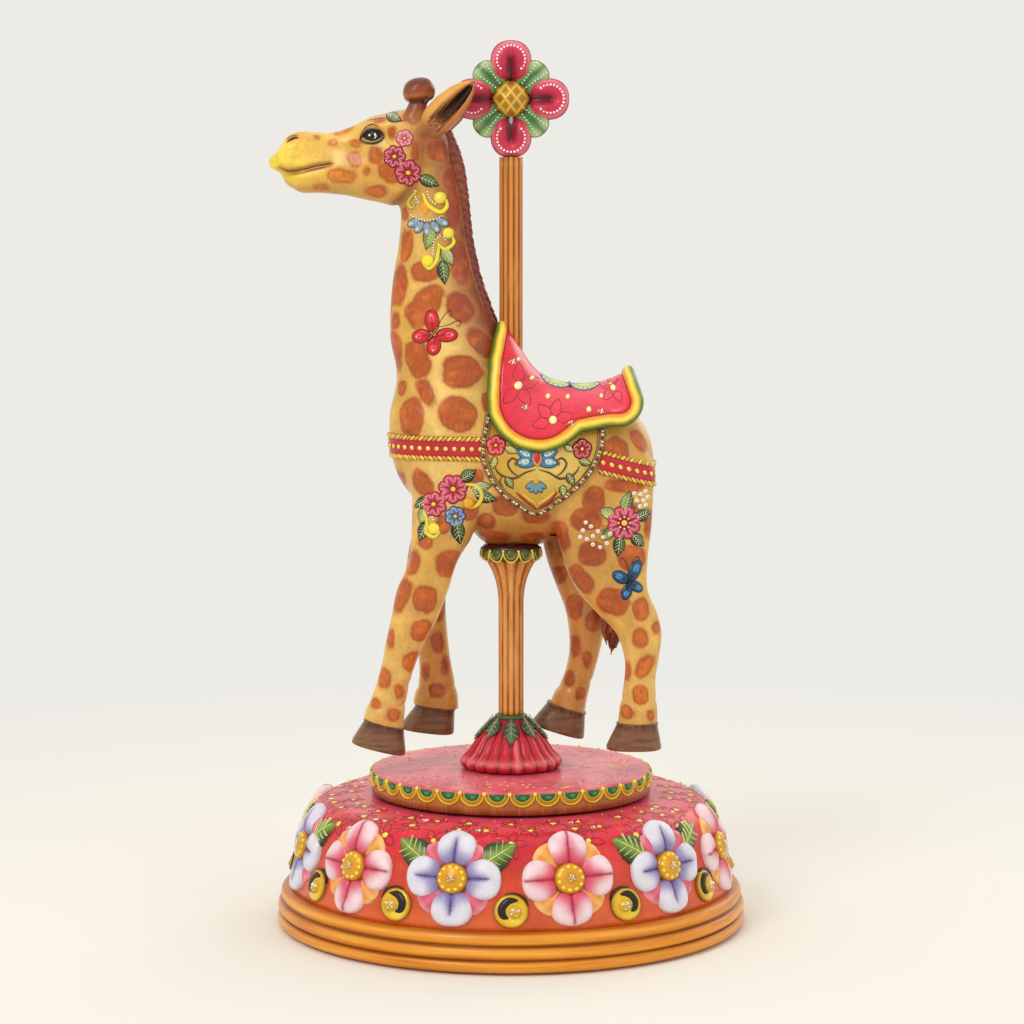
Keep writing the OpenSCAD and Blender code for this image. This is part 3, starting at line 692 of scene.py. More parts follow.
# Glue joints between the carved blocks: a point (x, z) and the lean of the plane's normal from +Z
NECK_JOINT = ((-30, 287), -27)
HEAD_JOINT = ((-44.5, 386), -57)
FRONT_JOINT_Z = 206
HIND_JOINT_Z = 200
FRONT_EDGE_X = -12
HIND_EDGE_X = 10
ANKLES = {"front_left": ((-64, 105.4), 14), "front_right": ((-39, 108), 7),
          "hind_left": ((64, 105.6), 0), "hind_right": ((29, 107.6), 17)}
NAPE = [(-33, 399), (-28, 385), (-25.5, 366), (-23.5, 348), (-19, 328), (-11.5, 307), (-7, 297)]
MOUTH = [(-115, 384.6), (-111, 382.8), (-104, 383.8), (-97, 385.6), (-90.4, 386.8)]
JAW_CREASE = [(-44, 400), (-44.5, 391), (-46.5, 381), (-51.5, 372), (-58, 366.4)]
EYE = (-69.1, 400.1)


def carve_figure():
    """The whole giraffe without ears, horns, hooves, mane and tail."""
    form = Volume((-127, -34, 92), (80, 34, 420), 0.95)
    form.limb(BODY, 5)
    form.limb(NECK, 9)
    for stations in LEGS.values():
        form.limb(stations, 5)
    form.limb(HEAD, 6)
    form.limb(JAW, 4)
    for s in (-1, 1):
        form.limb([[-69, 8 * s, 404, 6, 3.6, 2.6], [-60, 9.2 * s, 405.6, 6, 4, 3]], 6)
        form.limb([[-57, 7.5 * s, 392, 7, 6.5, 9], [-55, 7 * s, 380, 8, 6, 9]], 5)
        form.limb([[-74, 16.5 * s, 399.5, 4, 5, 4.6], [-63, 17.5 * s, 400, 4, 5, 5]], 2.5, carve=True)
        form.limb([[-90, 12.5 * s, 394, 9, 4.5, 4], [-79, 14 * s, 393, 6, 4.5, 4]], 6, carve=True)
        form.limb([[-107, 5.2 * s, 398, 4, 3.2, 3], [-110, 4.8 * s, 396, 3.4, 3.4, 3]], 5)
        form.limb([[-111, 8.3 * s, 397.6, 1.5, 2, 1], [-107.5, 10 * s, 399.3, 1.4, 2, 1.3]], 1.2, carve=True)
        form.limb([[-44, 8.5 * s, 401, 6, 5, 7], [-40.5, 10.4 * s, 404, 4, 4, 5]], 6)
        form.limb([[-49.6, 7.6 * s, 400, 10, 6, 4], [-48.6, 8 * s, 407, 7.2, 5, 4],
                   [-48, 8.2 * s, 411, 4.8, 4.4, 3]], 6)
    form.limb([[-106, 0, 377.5, 7, 7, 4], [-110, 0, 379, 4.5, 5.5, 3.4]], 3)
    form.soften(1.05)
    form.press([(-116, 384.6), (-111, 382.6), (-104, 383.4), (-97, 385.2), (-90.4, 386.4)], 1.1, 1.5)
    form.press([(-112, 385.6), (-104, 386.4), (-95, 388.4)], 1.8, -0.6)
    form.press([(-108, 379.8), (-101, 380), (-93, 382.4)], 1.8, -0.6)
    form.press([(-47, 399), (-46, 388), (-49, 376), (-57, 367.5)], 2.2, 0.9)
    form.press([(23, 226), (20.5, 216), (21, 203), (25, 190)], 2.6, 1.1)
    form.press([(-14, 224), (-13.5, 212), (-18, 201)], 3, 0.9)
    form.press([(-50, 272), (-40, 262), (-28, 252)], 4, 0.7)
    form.press([(-59, 132), (-56, 127), (-52, 125)], 1.6, 0.4, -1)
    form.press([(-70, 115.5), (-62, 113.5), (-54, 115)], 1.6, 0.6, -1)
    form.press([(56, 117.5), (65, 115.5), (73, 117)], 1.6, 0.6, -1)
    form.press([(-48, 118), (-39, 116), (-30, 118)], 1.6, 0.6, 1)
    form.press([(22, 119), (32, 118.5), (41, 121)], 1.6, 0.6, 1)
    return form


form = carve_figure()
skin_points, skin_quads = form.skin()
skin_tree = BVHTree.FromPolygons(skin_points.tolist(), skin_quads.tolist())
SIDES = ((-1, "left"), (1, "right"))
SEE = {side: sight_chart(skin_tree, side) for side, _ in SIDES}


# ---------------------------------------------------------------- the figure's paint

# Painted patches as (x, z, half-length, half-width, angle of the length from +X), seen from the left
UPPER_PATCHES = [
    # head
    (-97.5, 400, 2.2, 1.6, 0), (-89, 397, 2.8, 1.7, 0), (-86, 402.5, 3.2, 1.6, 0),
    (-82.5, 403.6, 3, 1.6, 20), (-78, 396.5, 3.3, 2.4, 0), (-78.5, 389, 4.6, 4, 90),
    (-84.5, 380.5, 7, 4.4, 0), (-67.5, 391, 5, 4.2, 90), (-61, 382, 6.4, 4.8, -30), (-67.5, 373, 6, 3.4, 0),
    (-59, 402, 3.6, 2.6, 90), (-51.5, 409.5, 3.4, 2.6, 90), (-47.5, 392, 6, 2.5, 90),
    (-67, 411.5, 3.5, 2, 20), (-95, 375, 4, 2.4, 0), (-72, 383, 2.6, 2, 60),
    # neck
    (-36, 393, 6.5, 5.5, 0), (-30, 379, 6, 4.5, 90), (-29, 364, 10.5, 4, 90), (-52.5, 346, 8.5, 3.6, 90),
    (-56.5, 326, 11, 4.6, 80), (-43.5, 333, 7.5, 5.6, 0), (-26, 338, 12, 4.6, -80),
    (-43.5, 315.5, 12.6, 7.2, 50), (-25.5, 315, 8.6, 6.8, -50), (-58.5, 308.5, 5, 3, 90),
    (-58, 293, 10, 3.4, -80), (-15, 297, 9.5, 5, -52), (-46.7, 289, 10, 6.8, -75),
    (-24.5, 283, 10.5, 8.8, -10), (-42.5, 273, 7.6, 4, -65), (-55, 274.5, 4.6, 3, 90),
    (-50, 260, 10.5, 6.6, 90), (-26.3, 262, 10, 9, -20), (-12, 268, 5, 3, 90), (-53.5, 362, 4, 2.6, 90),
    # shoulder, belly and rump
    (-44.5, 227, 7.5, 5.5, -50), (-55.5, 228, 6, 3, 90), (-18, 230.5, 4.5, 3.8, 0),
    (-20.5, 213.5, 5.4, 4.6, 90), (-34, 207, 5.4, 4, 90), (-54, 209, 5, 3, 90), (-12.5, 207.5, 5.4, 4.8, 0),
    (-3, 216.5, 7.2, 6.2, 0), (-7.5, 199.3, 8, 3.4, 0), (12, 211, 8, 4.4, 0), (12, 198.8, 7.4, 3.2, 0),
    (41.3, 219.6, 6.8, 6, 90), (37.5, 209.5, 8, 6, 10), (57.5, 226.6, 10.4, 3.8, 0),
    (53, 244.5, 7, 6.2, -40), (64.5, 248, 7, 3.6, -60), (69, 207, 7, 3, 90), (60, 214, 4.4, 3, 0),
    (52, 263, 6, 4, 0), (-58, 246, 5, 3, 90),
]
FRONT_LEG_PATCHES = [
    (-43, 198, 4.4, 3.6, 0), (-49, 187.5, 6.8, 4, 80), (-31, 187, 7.4, 7, 0), (-55, 171, 9.4, 5, 66),
    (-43, 169, 7.6, 6.8, 90), (-44.5, 153.2, 6.6, 5.6, 25), (-60.6, 148.5, 5.6, 2.6, 90),
    (-50, 137.8, 5.6, 4.6, 90), (-63.5, 129, 5.4, 3.8, 90), (-56, 121.8, 4.4, 3, 90),
    (-68.6, 116, 3.4, 3, 0), (-59, 110.6, 4, 3.4, 0),
]
HIND_LEG_PATCHES = [
    (25.3, 200.5, 8, 4.4, -70), (40.5, 192, 7.4, 6.6, 0), (35.6, 179, 8.8, 5, -52),
    (61, 189.3, 7.8, 6.6, 0), (51.3, 168, 8.4, 7.2, -20), (65.4, 164.5, 6.2, 5, 90),
    (73, 155, 3.4, 2.8, 90), (64.8, 149.8, 5.2, 4.2, 90), (67.3, 135.6, 7.2, 4.2, 65),
    (58.5, 131.5, 4.9, 2.5, 90), (65, 120.6, 5, 4.4, 90), (58.4, 111.8, 4.2, 3.8, 0),
    (70.5, 110.6, 3.6, 2.6, 90),
]
FRONT_INNER_PATCHES = [(-38, 142, 5.6, 4, 90), (-44.5, 126, 5, 2.8, 90), (-33.5, 130, 5, 3, 90),
                       (-38.5, 117, 4.6, 4, 0), (-37, 160, 7, 4.4, 90), (-46, 176, 7, 5, 90)]
HIND_INNER_PATCHES = [(33, 161, 6.6, 5, 90), (42.5, 154, 6, 5, 90), (32.6, 140.5, 6.6, 3.4, 90),
                      (39, 133, 4.4, 2.6, 90), (29.6, 123.5, 4.8, 4.2, 90), (36, 115, 3.8, 3.4, 90),
                      (25, 178, 6, 4.4, 90), (42, 172, 6.4, 5, 90)]
# Patches that no side view shows: middle of the chest and neck, and the back of the rump
MIDDLE_PATCHES = [(-62, 0, 316, 4, 5, 7), (-60, 3, 334, 4, 5, 6), (-61, -2, 296, 4, 5.5, 7),
                  (-62, 3, 266, 4, 6, 7), (-61, -4, 246, 4, 5, 5), (-61, 3, 231, 4, 6, 6),
                  (-56, 0, 214, 5, 5, 6), (76, 0, 248, 4, 7, 6), (73, 9, 200, 4, 6, 7),
                  (73, -9, 199, 4, 6, 7), (-18, 0, 196, 8, 5, 3), (24, 0, 197, 6, 7, 3)]


def leg_shift(pair, z):
    """How much further back the right leg of a pair is than the left one, at a height."""
    left, right = (np.array(LEGS[f"{pair}_{side}"], float)[::-1] for side in ("left", "right"))
    return np.interp(z, right[:, 2], right[:, 0]) - np.interp(z, left[:, 2], left[:, 0])


def all_patches():
    """Every painted patch as a centre on the skin and half-sizes (along, across, through)."""
    found = []
    for side, _ in SIDES:
        for patches, leg in ((UPPER_PATCHES, None), (FRONT_LEG_PATCHES, "front"), (HIND_LEG_PATCHES, "hind")):
            for x, z, a, b, angle in patches:
                if side > 0:
                    x, z = x + random.uniform(-1.5, 1.5), z + random.uniform(-1.5, 1.5)
                    if leg:
                        x += leg_shift(leg, z)
                found.append((SEE[side]([(x, z, 0)])[0], a, b, angle))
        for patches, leg in ((FRONT_INNER_PATCHES, "front"), (HIND_INNER_PATCHES, "hind")):
            for x, z, a, b, angle in patches:
                if side < 0:
                    x -= leg_shift(leg, z)
                found.append((np.array([x, side * 11.0, z]), a, b, angle))
    return found


def patch_depth(points):
    """How far inside the nearest painted patch each point lies, in millimetres; negative outside."""
    best = np.full(len(points), -12.0)

    def join(centre, sizes, angle):
        reach = max(sizes) + 7
        near = np.where((np.abs(points - centre) < reach).all(1))[0]
        away = points[near] - centre
        c, s = heading(angle)
        along = np.abs(c * away[:, 0] + s * away[:, 2]) / sizes[0]
        across = np.abs(c * away[:, 2] - s * away[:, 0]) / sizes[1]
        through = np.abs(away[:, 1]) / sizes[2]
        size = (along ** 2.3 + across ** 2.3 + through ** 2.3) ** (1 / 2.3)
        best[near] = np.maximum(best[near], (1 - size) * min(sizes))

    for centre, a, b, angle in all_patches():
        join(centre, (a, b, max(a, b) * 1.1), angle)
    for x, y, z, a, through, b in MIDDLE_PATCHES:
        join(np.array([x, y, z]), (a, b, through), 0)
    return best


def skin_colours(points, normals):
    """The ground colour and the patch colour at points of the skin, with painted light and shade laid into
    both.
    """
    x, y, z = points.T
    # crease_shade weighs painted shade: it is strongest where the skin curves in, in creases and hollows.
    crease_shade = np.clip((9 - form.sample(points + normals * 9)) / 7, 0, 1)
    nape = bell(line_distance(points[:, [0, 2]], spline(NAPE, 4)), 13.5)
    # inner picks out the legs' inner sides, which get painted shade.
    inner = ramp(normals[:, 1] * np.sign(y) * -1, 0.1, 0.7) * ramp(-z, -205, -185)
    # far_side_shade picks out the right side, whose lower-leg patches get painted shade.
    far_side_shade = ramp(y, 2, 8)
    on_head = ramp(-x, 49, 56) * ramp(z, 358, 366)
    # mouth and crease are the lines along which a painted shadow under the upper lip and painted shade in the
    # jaw's crease are laid.
    mouth = line_distance(points[:, [0, 2]], spline(MOUTH, 4))
    crease = line_distance(points[:, [0, 2]], spline(JAW_CREASE, 4))
    # The first two layers are painted highlights, on the left of the neck and of the shoulder.
    ground = painted(points, "e2b45c", (0.75 * near_to(points, (-34, -17, 300), (16, 30, 70)), "efce86"),
                     (0.7 * near_to(points, (-40, -20, 235), (20, 30, 22)), "e6c27c"),
                     (0.8 * ramp(-x - 50, 0, 9) * ramp(z, 200, 240), "dcae3c"),
                     (0.6 * ramp(-z, -190, -120), "e8c07a"),
                     # painted shade under the belly and on the legs' inner sides
                     (0.95 * near_to(points, (4, 0, 196), (32, 60, 19)), "8e5026"), (0.8 * inner, "bd7a3a"),
                     (on_head, "edbf68"),
                     (0.9 * on_head * near_to(points, (-90, 0, 402), (26, 30, 9)), "f7cd62"),
                     # painted shade under the chin
                     (0.8 * on_head * near_to(points, (-88, 0, 369), (26, 30, 9)), "b58a4c"),
                     (0.7 * near_to(points, (-68, 0, 408), (9, 30, 6)), "dba432"),
                     (0.75 * near_to(points, (-68, 0, 381), (15, 30, 11)), "d29a3c"),
                     (0.55 * near_to(points, (-50, 0, 284), (9, 30, 44)), "cc983c"),
                     (0.6 * near_to(points, (44, 0, 194), (18, 60, 40)), "c48e46"),
                     (0.5 * near_to(points, (54, 0, 246), (12, 60, 22)), "bc7848"),
                     (0.8 * ramp(-x, 96, 112) * ramp(z, 374, 381), "f3d456"),
                     # painted shade under the jaw
                     (0.7 * ramp(-x, 84, 96) * ramp(-z, -378, -371), "c8984e"),
                     (0.6 * near_to(points, (-54, 0, 236), (9, 30, 16)), "c8983c"),
                     (0.9 * near_to(points, (-121, 0, 386), (8, 12, 6)), "f7df3e"),
                     (0.9 * near_to(points, (-104, 0, 381), (11, 20, 3)), "e8c63e"),
                     (0.8 * near_to(points, (-108, 0, 399.5), (5, 20, 3.5)), "c9742c"),
                     (0.9 * near_to(points, (-40, 0, 402), (11, 30, 13)), "96502a"),
                     (0.45 * near_to(points, (-50, 0, 372), (10, 30, 12)), "b87838"),
                     (0.55 * near_to(points, (-29, 0, 372), (11, 30, 30)), "aa6a34"),
                     # a painted shadow under the upper lip, and painted shade in the jaw's crease
                     (0.55 * bell(mouth, 1.7), "a0601c"), (0.75 * bell(crease, 2.6), "8c4624"),
                     # the nape's own dark colour, then painted shade in the creases and hollows
                     (0.95 * nape, "843826"), (0.6 * crease_shade, "94502a"),
                     (0.3 * ramp(-z, -116, -106), "c98438"))
    patch = painted(points, "bc5c1e", (0.7 * ramp(-z, -180, -140), "cc6e26"),
                    (on_head * ramp(-x, 60, 76), "df8a34"),
                    (0.6 * near_to(points, (-24, 0, 300), (12, 30, 80)), "9c4424"),
                    (0.7 * near_to(points, (-68, 0, 380), (15, 30, 14)), "bc5a1e"),
                    (0.55 * near_to(points, (-50, 0, 284), (10, 30, 44)), "a84a18"),
                    (0.75 * near_to(points, (46, 0, 204), (18, 60, 46)), "94401a"),
                    # painted shade under the belly, then the nape's own dark colour
                    (0.85 * near_to(points, (4, 0, 199), (32, 60, 20)), "7c361c"), (0.8 * nape, "8a3220"),
                    # painted shade on the legs' inner sides and in the creases and hollows
                    (0.6 * inner, "93401f"), (0.5 * crease_shade, "87341c"),
                    # painted shade on the right side's lower legs
                    (0.35 * far_side_shade * ramp(-z, -200, -180), "a34c22"))
    return ground, patch


def skin_look():
    """Lacquered skin: cloudy ground, soft-edged brush-filled patches, fine brush marks."""
    look = Look("giraffe_paint", 0.3, 0.55)
    cloud = look.noise(7, 4)
    strokes = look.noise(1.1, 4, (1, 1, 2.2))
    wobble = look.times(look.calc("SUBTRACT", look.noise(7, 2), 0.5), 4.4)
    depth = look.plus(look.attribute("patch_depth"), wobble)
    inside = look.step(depth, -0.7, 1.0)
    shade = look.shade(look.plus(cloud, look.times(strokes, 0.7)), 0.55, 1.15, 0.78, 1.2)
    shades = look.join(shade, look.times(shade, 0.985), look.times(shade, 0.76))
    ground = look.mix(1.0, look.tint(), shades, "MULTIPLY")
    rim = look.calc("SUBTRACT", 1.0, look.step(depth, 0.2, 2.2))
    patch = look.mix(look.times(rim, 0.45), look.attribute("patch", "Color"), "8a3a1c")
    patch = look.mix(look.times(look.step(cloud, 0.48, 0.72), 0.35), patch, "d87c30")
    patch = look.mix(look.times(look.step(strokes, 0.5, 0.36), 0.28), patch, "9a4418")
    patch = look.mix(1.0, patch, shades, "MULTIPLY")
    halo = look.times(look.step(depth, -3.2, -0.3), 0.28)
    ground = look.mix(halo, ground, "c9803c")
    look.bump(look.plus(strokes, look.times(cloud, 0.8)), 0.28)
    look.set("Roughness", look.plus(look.times(strokes, 0.2), 0.22))
    return look.colour(look.mix(inside, ground, patch))


# ---------------------------------------------------------------- the figure's blocks

def plane_normal(lean):
    """The direction that leans from +Z towards +X by an angle in degrees."""
    c, s = heading(lean)
    return Vector((s, 0, c))


def bisect(mesh, place, normal, clear=False):
    """Cuts a mesh with a plane through (x, z), and drops what lies behind it if told to."""
    everything = mesh.verts[:] + mesh.edges[:] + mesh.faces[:]
    bmesh.ops.bisect_plane(mesh, geom=everything, dist=1e-4, plane_co=(place[0], 0, place[1]),
                           plane_no=normal, clear_inner=clear)


def mesh_of(points, faces):
    """An editable mesh; arrays_of turns it back into points and faces."""
    mesh = bmesh.new()
    corners = [mesh.verts.new(p) for p in points.tolist()]
    for face in faces:
        mesh.faces.new([corners[i] for i in face])
    return mesh


def arrays_of(mesh):
    mesh.verts.index_update()
    points = np.array([v.co[:] for v in mesh.verts])
    return points, [[v.index for v in face.verts] for face in mesh.faces]


def block_owner(centre):
    """The carved block that a point of the skin belongs to."""
    x, y, z = centre
    for (place, lean), name in ((HEAD_JOINT, "head"), (NECK_JOINT, "neck")):
        normal = plane_normal(lean)
        if (x - place[0]) * normal.x + (z - place[1]) * normal.z > 0 and z > 250:
            return name
    side = "left" if y < 0 else "right"
    if z < FRONT_JOINT_Z and x < FRONT_EDGE_X:
        return f"front_{side}"
    if z < HIND_JOINT_Z and x > HIND_EDGE_X:
        return f"hind_{side}"
    return "torso"


def close_rims(solid):
    """Closes every open rim with faces that meet at the saw cuts' inner corner or the rim's middle."""
    solid.edges.index_update()
    waiting = {edge.index: edge for edge in solid.edges if edge.is_boundary}
    while waiting:
        rim, reached = [], [waiting.pop(min(waiting))]
        while reached:
            edge = reached.pop()
            rim.append(edge)
            for near in edge.verts[0].link_edges[:] + edge.verts[1].link_edges[:]:
                if waiting.pop(near.index, None):
                    reached.append(near)
        corners = [vert.co for edge in rim for vert in edge.verts]
        middle = sum(corners, Vector()) / len(corners)
        for edge_x, joint_z in ((FRONT_EDGE_X, FRONT_JOINT_Z), (HIND_EDGE_X, HIND_JOINT_Z)):
            if abs(max(co.z for co in corners) - joint_z) < 0.01:
                middle = Vector((edge_x, 0, joint_z))
        apex = solid.verts.new(middle)
        for edge in rim:
            loop = edge.link_loops[0]
            solid.faces.new((loop.link_loop_next.vert, loop.vert, apex))


def build_blocks():
    """Saws the carved form into the blocks that are glued together, each a closed solid."""
    whole = mesh_of(skin_points, skin_quads.tolist())
    for place, lean in (NECK_JOINT, HEAD_JOINT):
        bisect(whole, place, plane_normal(lean))
    for height in (FRONT_JOINT_Z, HIND_JOINT_Z):
        bisect(whole, (0, height), Vector((0, 0, 1)))
    for edge in (FRONT_EDGE_X, HIND_EDGE_X):
        bisect(whole, (edge, 0), Vector((1, 0, 0)))
    bisect(whole, (0, 0), Vector((0, 1, 0)))
    points, faces = arrays_of(whole)
    whole.free()
    blocks = {}
    for face in faces:
        blocks.setdefault(block_owner(points[face].mean(0)), []).append(face)
    material = skin_look()
    for name, own in sorted(blocks.items()):
        used = sorted({i for face in own for i in face})
        place_of = {old: new for new, old in enumerate(used)}
        solid = mesh_of(points[used], [[place_of[i] for i in face] for face in own])
        if name in ANKLES:
            ankle, lean = ANKLES[name]
            bisect(solid, ankle, plane_normal(lean), clear=True)
        close_rims(solid)
        bmesh.ops.triangulate(solid, faces=[face for face in solid.faces if len(face.verts) > 4])
        block_points, block_faces = arrays_of(solid)
        solid.free()
        normals = form.normals(block_points)
        ground, patch = skin_colours(block_points, normals)
        node = name if name in ("head", "neck", "torso") else "leg_" + name
        shape = Shape().add(block_points, block_faces, ground)
        obj = piece(f"{node}_carving", shape, material, CAROUSEL, "giraffe_skin", node,
                    values={"patch_depth": patch_depth(block_points)}, normals=normals)
        layer = obj.data.attributes.new("patch", "FLOAT_COLOR", "POINT")
        layer.data.foreach_set("color",
                               np.column_stack([patch, np.ones(len(patch))]).astype(np.float32).ravel())


build_blocks()


# ---------------------------------------------------------------- head: eyes, mouth, ears and horns

skin_paint = brushed("figure_paint", roughness=0.3, depth=0.14)
eye_gloss = brushed("eye_lacquer", roughness=0.16, coat=1.0, depth=0.05, grit=0.05)
HORN_X = -48.2
HORN_Y = 8.2


def lens(length, height, bow):
    """An eye's outline: pointed corners, its upper edge higher than its lower one by bow."""
    u = np.linspace(-1, 1, 14)
    upper = np.column_stack([u * length / 2, height * 0.5 * bow * (1 - u ** 2)])
    lower = np.column_stack([u[::-1] * length / 2, -height * 0.5 * (2 - bow) * (1 - u[::-1] ** 2)])[1:-1]
    return np.vstack([upper, lower])[::-1]


def build_eye(side, name):
    """A painted almond eye: dark lens, highlights, heavy upper lid and short beaded lashes."""
    see = SEE[side]
    x, z = EYE
    shape = Shape()
    shape.lay(see, pad(lens(11.8, 7.8, 1.16), 0.8, x, z), "e3b56a")
    shape.lay(see, pad(lens(10.2, 6.2, 1.2), 1.4, x, z, rings=6), "0b0908")
    shape.lay(see, dab(x + 0.4, z + 0.3, 2.6, 2.5, 0.45), "2c160c", 1.05)
    shape.lay(see, dab(x + 0.4, z + 0.35, 1.8, 1.9, 0.4), "050404", 1.35)
    for dx, dz, across, up in ((-1.2, 0.9, 0.5, 0.6), (1.5, 1.2, 0.5, 0.7), (1.9, 0.2, 0.42, 0.7),
                               (1.5, -0.8, 0.34, 0.5)):
        shape.lay(see, dab(x + dx, z + dz, across, up, 0.3), "fbf8f0", 1.7)
    lid = [(x - 6.5, z - 1.7), (x - 3.7, z + 1.9), (x - 0.2, z + 3.5), (x + 3.4, z + 2.5), (x + 6.2, z)]
    shape.lay(see, line(lid, 1.25, 1.1, 0.3), "150d09", 0.4)
    shape.lay(see, line([(px + 0.2, pz + 1.45) for px, pz in lid], 1.2, 0.8, 0.2), "c98a3a")
    shape.lay(see, line([(px + 0.2, pz + 2.1) for px, pz in lid[:4]], 0.5, 0.3), "2c160e", 0.5)
    lower = [(x - 6.2, z - 1.8), (x - 3, z - 3.2), (x + 0.7, z - 3.5), (x + 3.8, z - 2.3), (x + 6, z - 0.2)]
    shape.lay(see, line(lower, 0.8, 0.7, 0.3), "1c110b", 0.3)
    row = spline(lower, 3)
    for k in range(1, len(row) - 1):
        foot, drop = row[k], 1 + 0.25 * math.sin(k)
        shape.lay(see, line([foot, (foot[0] + 0.14 * (foot[0] - x), foot[1] - drop)], 0.32, 0.35), "1c110b")
        shape.lay(see, dab(foot[0] + 0.16 * (foot[0] - x), foot[1] - drop - 0.35, 0.24, 0.24, 0.3, count=8),
                  "f2e8cf")
    piece(f"eye_{name}_painted", shape, eye_gloss, CAROUSEL, "eye_paint", f"eye_{name}")


def build_face_lines():
    """The mouth, the nostrils and the hair of the brow."""
    shape = Shape()
    for side, _ in SIDES:
        chart = SEE[side]
        mouth = [(-116.5, 385), (-111.5, 383.1), (-105, 383.7), (-98, 385.3), (-90.2, 386.6)]
        shape.lay(chart, line(mouth, 0.75, 0.12, 0.4), "7c4216")
        shape.lay(chart, line([(-97, 385.5), (-93, 386.2), (-89.6, 386.9)], 1.1, 0.15, 0.3), "6a3414")
        shape.lay(chart, line([(-104, 382.3), (-98, 383.8), (-91, 385.2)], 1.1, 0.12, 0.1), "8a5a26")
        nostril = [(-112.4, 397.2), (-110.6, 398.5), (-108, 399.5), (-106.2, 399.3)]
        shape.lay(chart, line(nostril, 1.5, 0.15, 0.1), "3a1a0e")
        shape.lay(chart, line([(-112.6, 398.8), (-110, 400.4), (-106.6, 400.8)], 0.8, 0.3, 0.1), "b5682c")
        for k in range(6):
            foot = (-72 + 3.2 * k, 408.6 - 0.15 * (k - 2) ** 2)
            shape.lay(chart, line([foot, (foot[0] + 4.6, foot[1] + 1.1)], 0.5, 0.15, 0.1), "7a4a1e")
    piece("face_lines", shape, skin_paint, CAROUSEL, "giraffe_skin")


def build_ear(side, name):
    """A cupped ear with a broad light rim, and painted hair in its hollow, which painted shade darkens."""
    spine = spline([(-44, 8.5, 401), (-40, 11.4, 405), (-34, 14.2, 411), (-28, 15.4, 417),
                    (-22.5, 15.8, 422.6), (-18, 16, 427)], 6) * [1, side, 1]
    u = np.linspace(0, 1, len(spine))
    width = np.interp(u, [0, 0.12, 0.3, 0.5, 0.7, 0.86, 0.96, 1], [4.6, 6.4, 7.9, 8, 6.6, 4.1, 1.7, 0.4])
    out = np.array(Vector((-0.2, side, 0.1)).normalized())
    axis = np.array(Vector((0.68, 0.14 * side, 0.72)).normalized())
    wide = np.cross(axis, out) * -side
    wide /= np.linalg.norm(wide)

    def hollow(a, t):
        """Depth of the cup at a place across (-1 above, 1 below) and along the ear."""
        reach = ramp(t, 0.24, 0.42) * (1 - ramp(t, 0.86, 0.97))
        return np.exp(-((a - 0.22) / 0.4) ** 4) * reach

    columns = 48
    turns = -side * circle(columns)
    across = np.cos(turns)
    bulge = np.abs(np.sin(turns))
    front = np.sin(turns) * -side < 0
    rings, tints = [], []
    for centre, w, t in zip(spine, width, u):
        cup = hollow(across, np.full(columns, t)) * front
        lift = np.where(front, 0.62 * w * bulge ** 0.7 + 0.5 - 0.95 * w * cup, -0.62 * w * bulge)
        rings.append(centre + across[:, None] * wide * w + lift[:, None] * out)
        # ramp(cup, ...) lays painted shade in the hollow, following the cup's depth
        tint = painted(columns, "a8622e", (ramp(-across, -0.1, 0.6) * front, "e0a04a"),
                       (ramp(across, 0.4, 0.9) * front, "b9743a"), (ramp(cup, 0.15, 0.6), "2c140e"),
                       (np.full(columns, max(0.0, 1 - 3.2 * t)), "96502a"))
        tints.append(blended(tint, np.full(columns, 0.7 * ramp(np.array([t]), 0.9, 1)[0]), "8a4a22"))
    points, faces = loft(rings)
    shape = Shape().add(points, faces, np.vstack(tints))
    for k in range(17):
        a0 = -0.3 + 0.95 * k / 16
        t0 = 0.27 + 0.06 * math.sin(5 * k)
        t1 = 0.46 + 0.16 * math.cos(2.2 * (a0 - 0.2)) + 0.06 * math.sin(9 * k)
        path, radii = [], []
        for t in np.linspace(t0, t1, 6):
            a = a0 + 0.25 * (0.5 - t)
            w = np.interp(t, u, width)
            cup = float(hollow(a, np.array(t)))
            height = 0.62 * w * math.sqrt(max(0, 1 - a * a)) ** 0.7 + 0.65 - 0.95 * w * cup
            path.append(on_path(t, u, spine) + a * wide * w + height * out)
            radii.append(0.3 * (1 - 0.85 * (t - t0) / (t1 - t0)))
        shape.add(*tube(path, radii, 5), "a06a3c" if k % 2 else "6a3a20")
    piece(f"ear_{name}_cup", shape, skin_paint, CAROUSEL, "giraffe_skin", f"ear_{name}")


def build_horn(side, name):
    """A horn that draws in to a neck under a round cap, the cap leaning back."""
    profile = [(5.2, 402.6), (6.2, 405.4), (6.3, 408.4), (5.8, 411.2), (5, 413.8), (4.3, 416.4), (4.9, 418),
               (6.6, 419), (7.6, 420.8), (7.8, 423), (7.2, 425.4), (5.7, 427.6), (3.3, 428.9), (0.8, 429.3)]
    rows = spline(profile, 4)

    def ripple(angles, height):
        return 1 + 0.025 * np.sin(3 * angles + 0.5 * height) + 0.012 * np.sin(7 * angles - height)
    points, faces = lathe(rows, 44, ripple)
    z = points[:, 2]
    tint = painted(points, "7e3a1e", (ramp(-z, -416, -409), "a4602c"), (0.7 * ramp(-z, -409, -405), "c07c38"),
                   (ramp(z, 419, 421), "8a4222"), (0.85 * ramp(z, 423, 427.5), "63281a"),
                   # a painted highlight round the cap's lower bulge, and painted shade in the neck under the
                   # cap
                   (0.7 * bell(z - 420.4, 1.1), "b4683c"), (0.9 * bell(z - 417.2, 0.8), "2a120a"))
    points[:, 2] += 0.12 * points[:, 0] * ramp(z, 416, 420)
    points[:, 0] += 2 * ramp(z, 408, 421)
    points = points + [HORN_X, HORN_Y * side, 0]
    piece(f"horn_{name}_knob", (points, faces, tint), skin_paint, CAROUSEL, "dark_hair", f"horn_{name}")


# ---------------------------------------------------------------- mane, tail and hooves

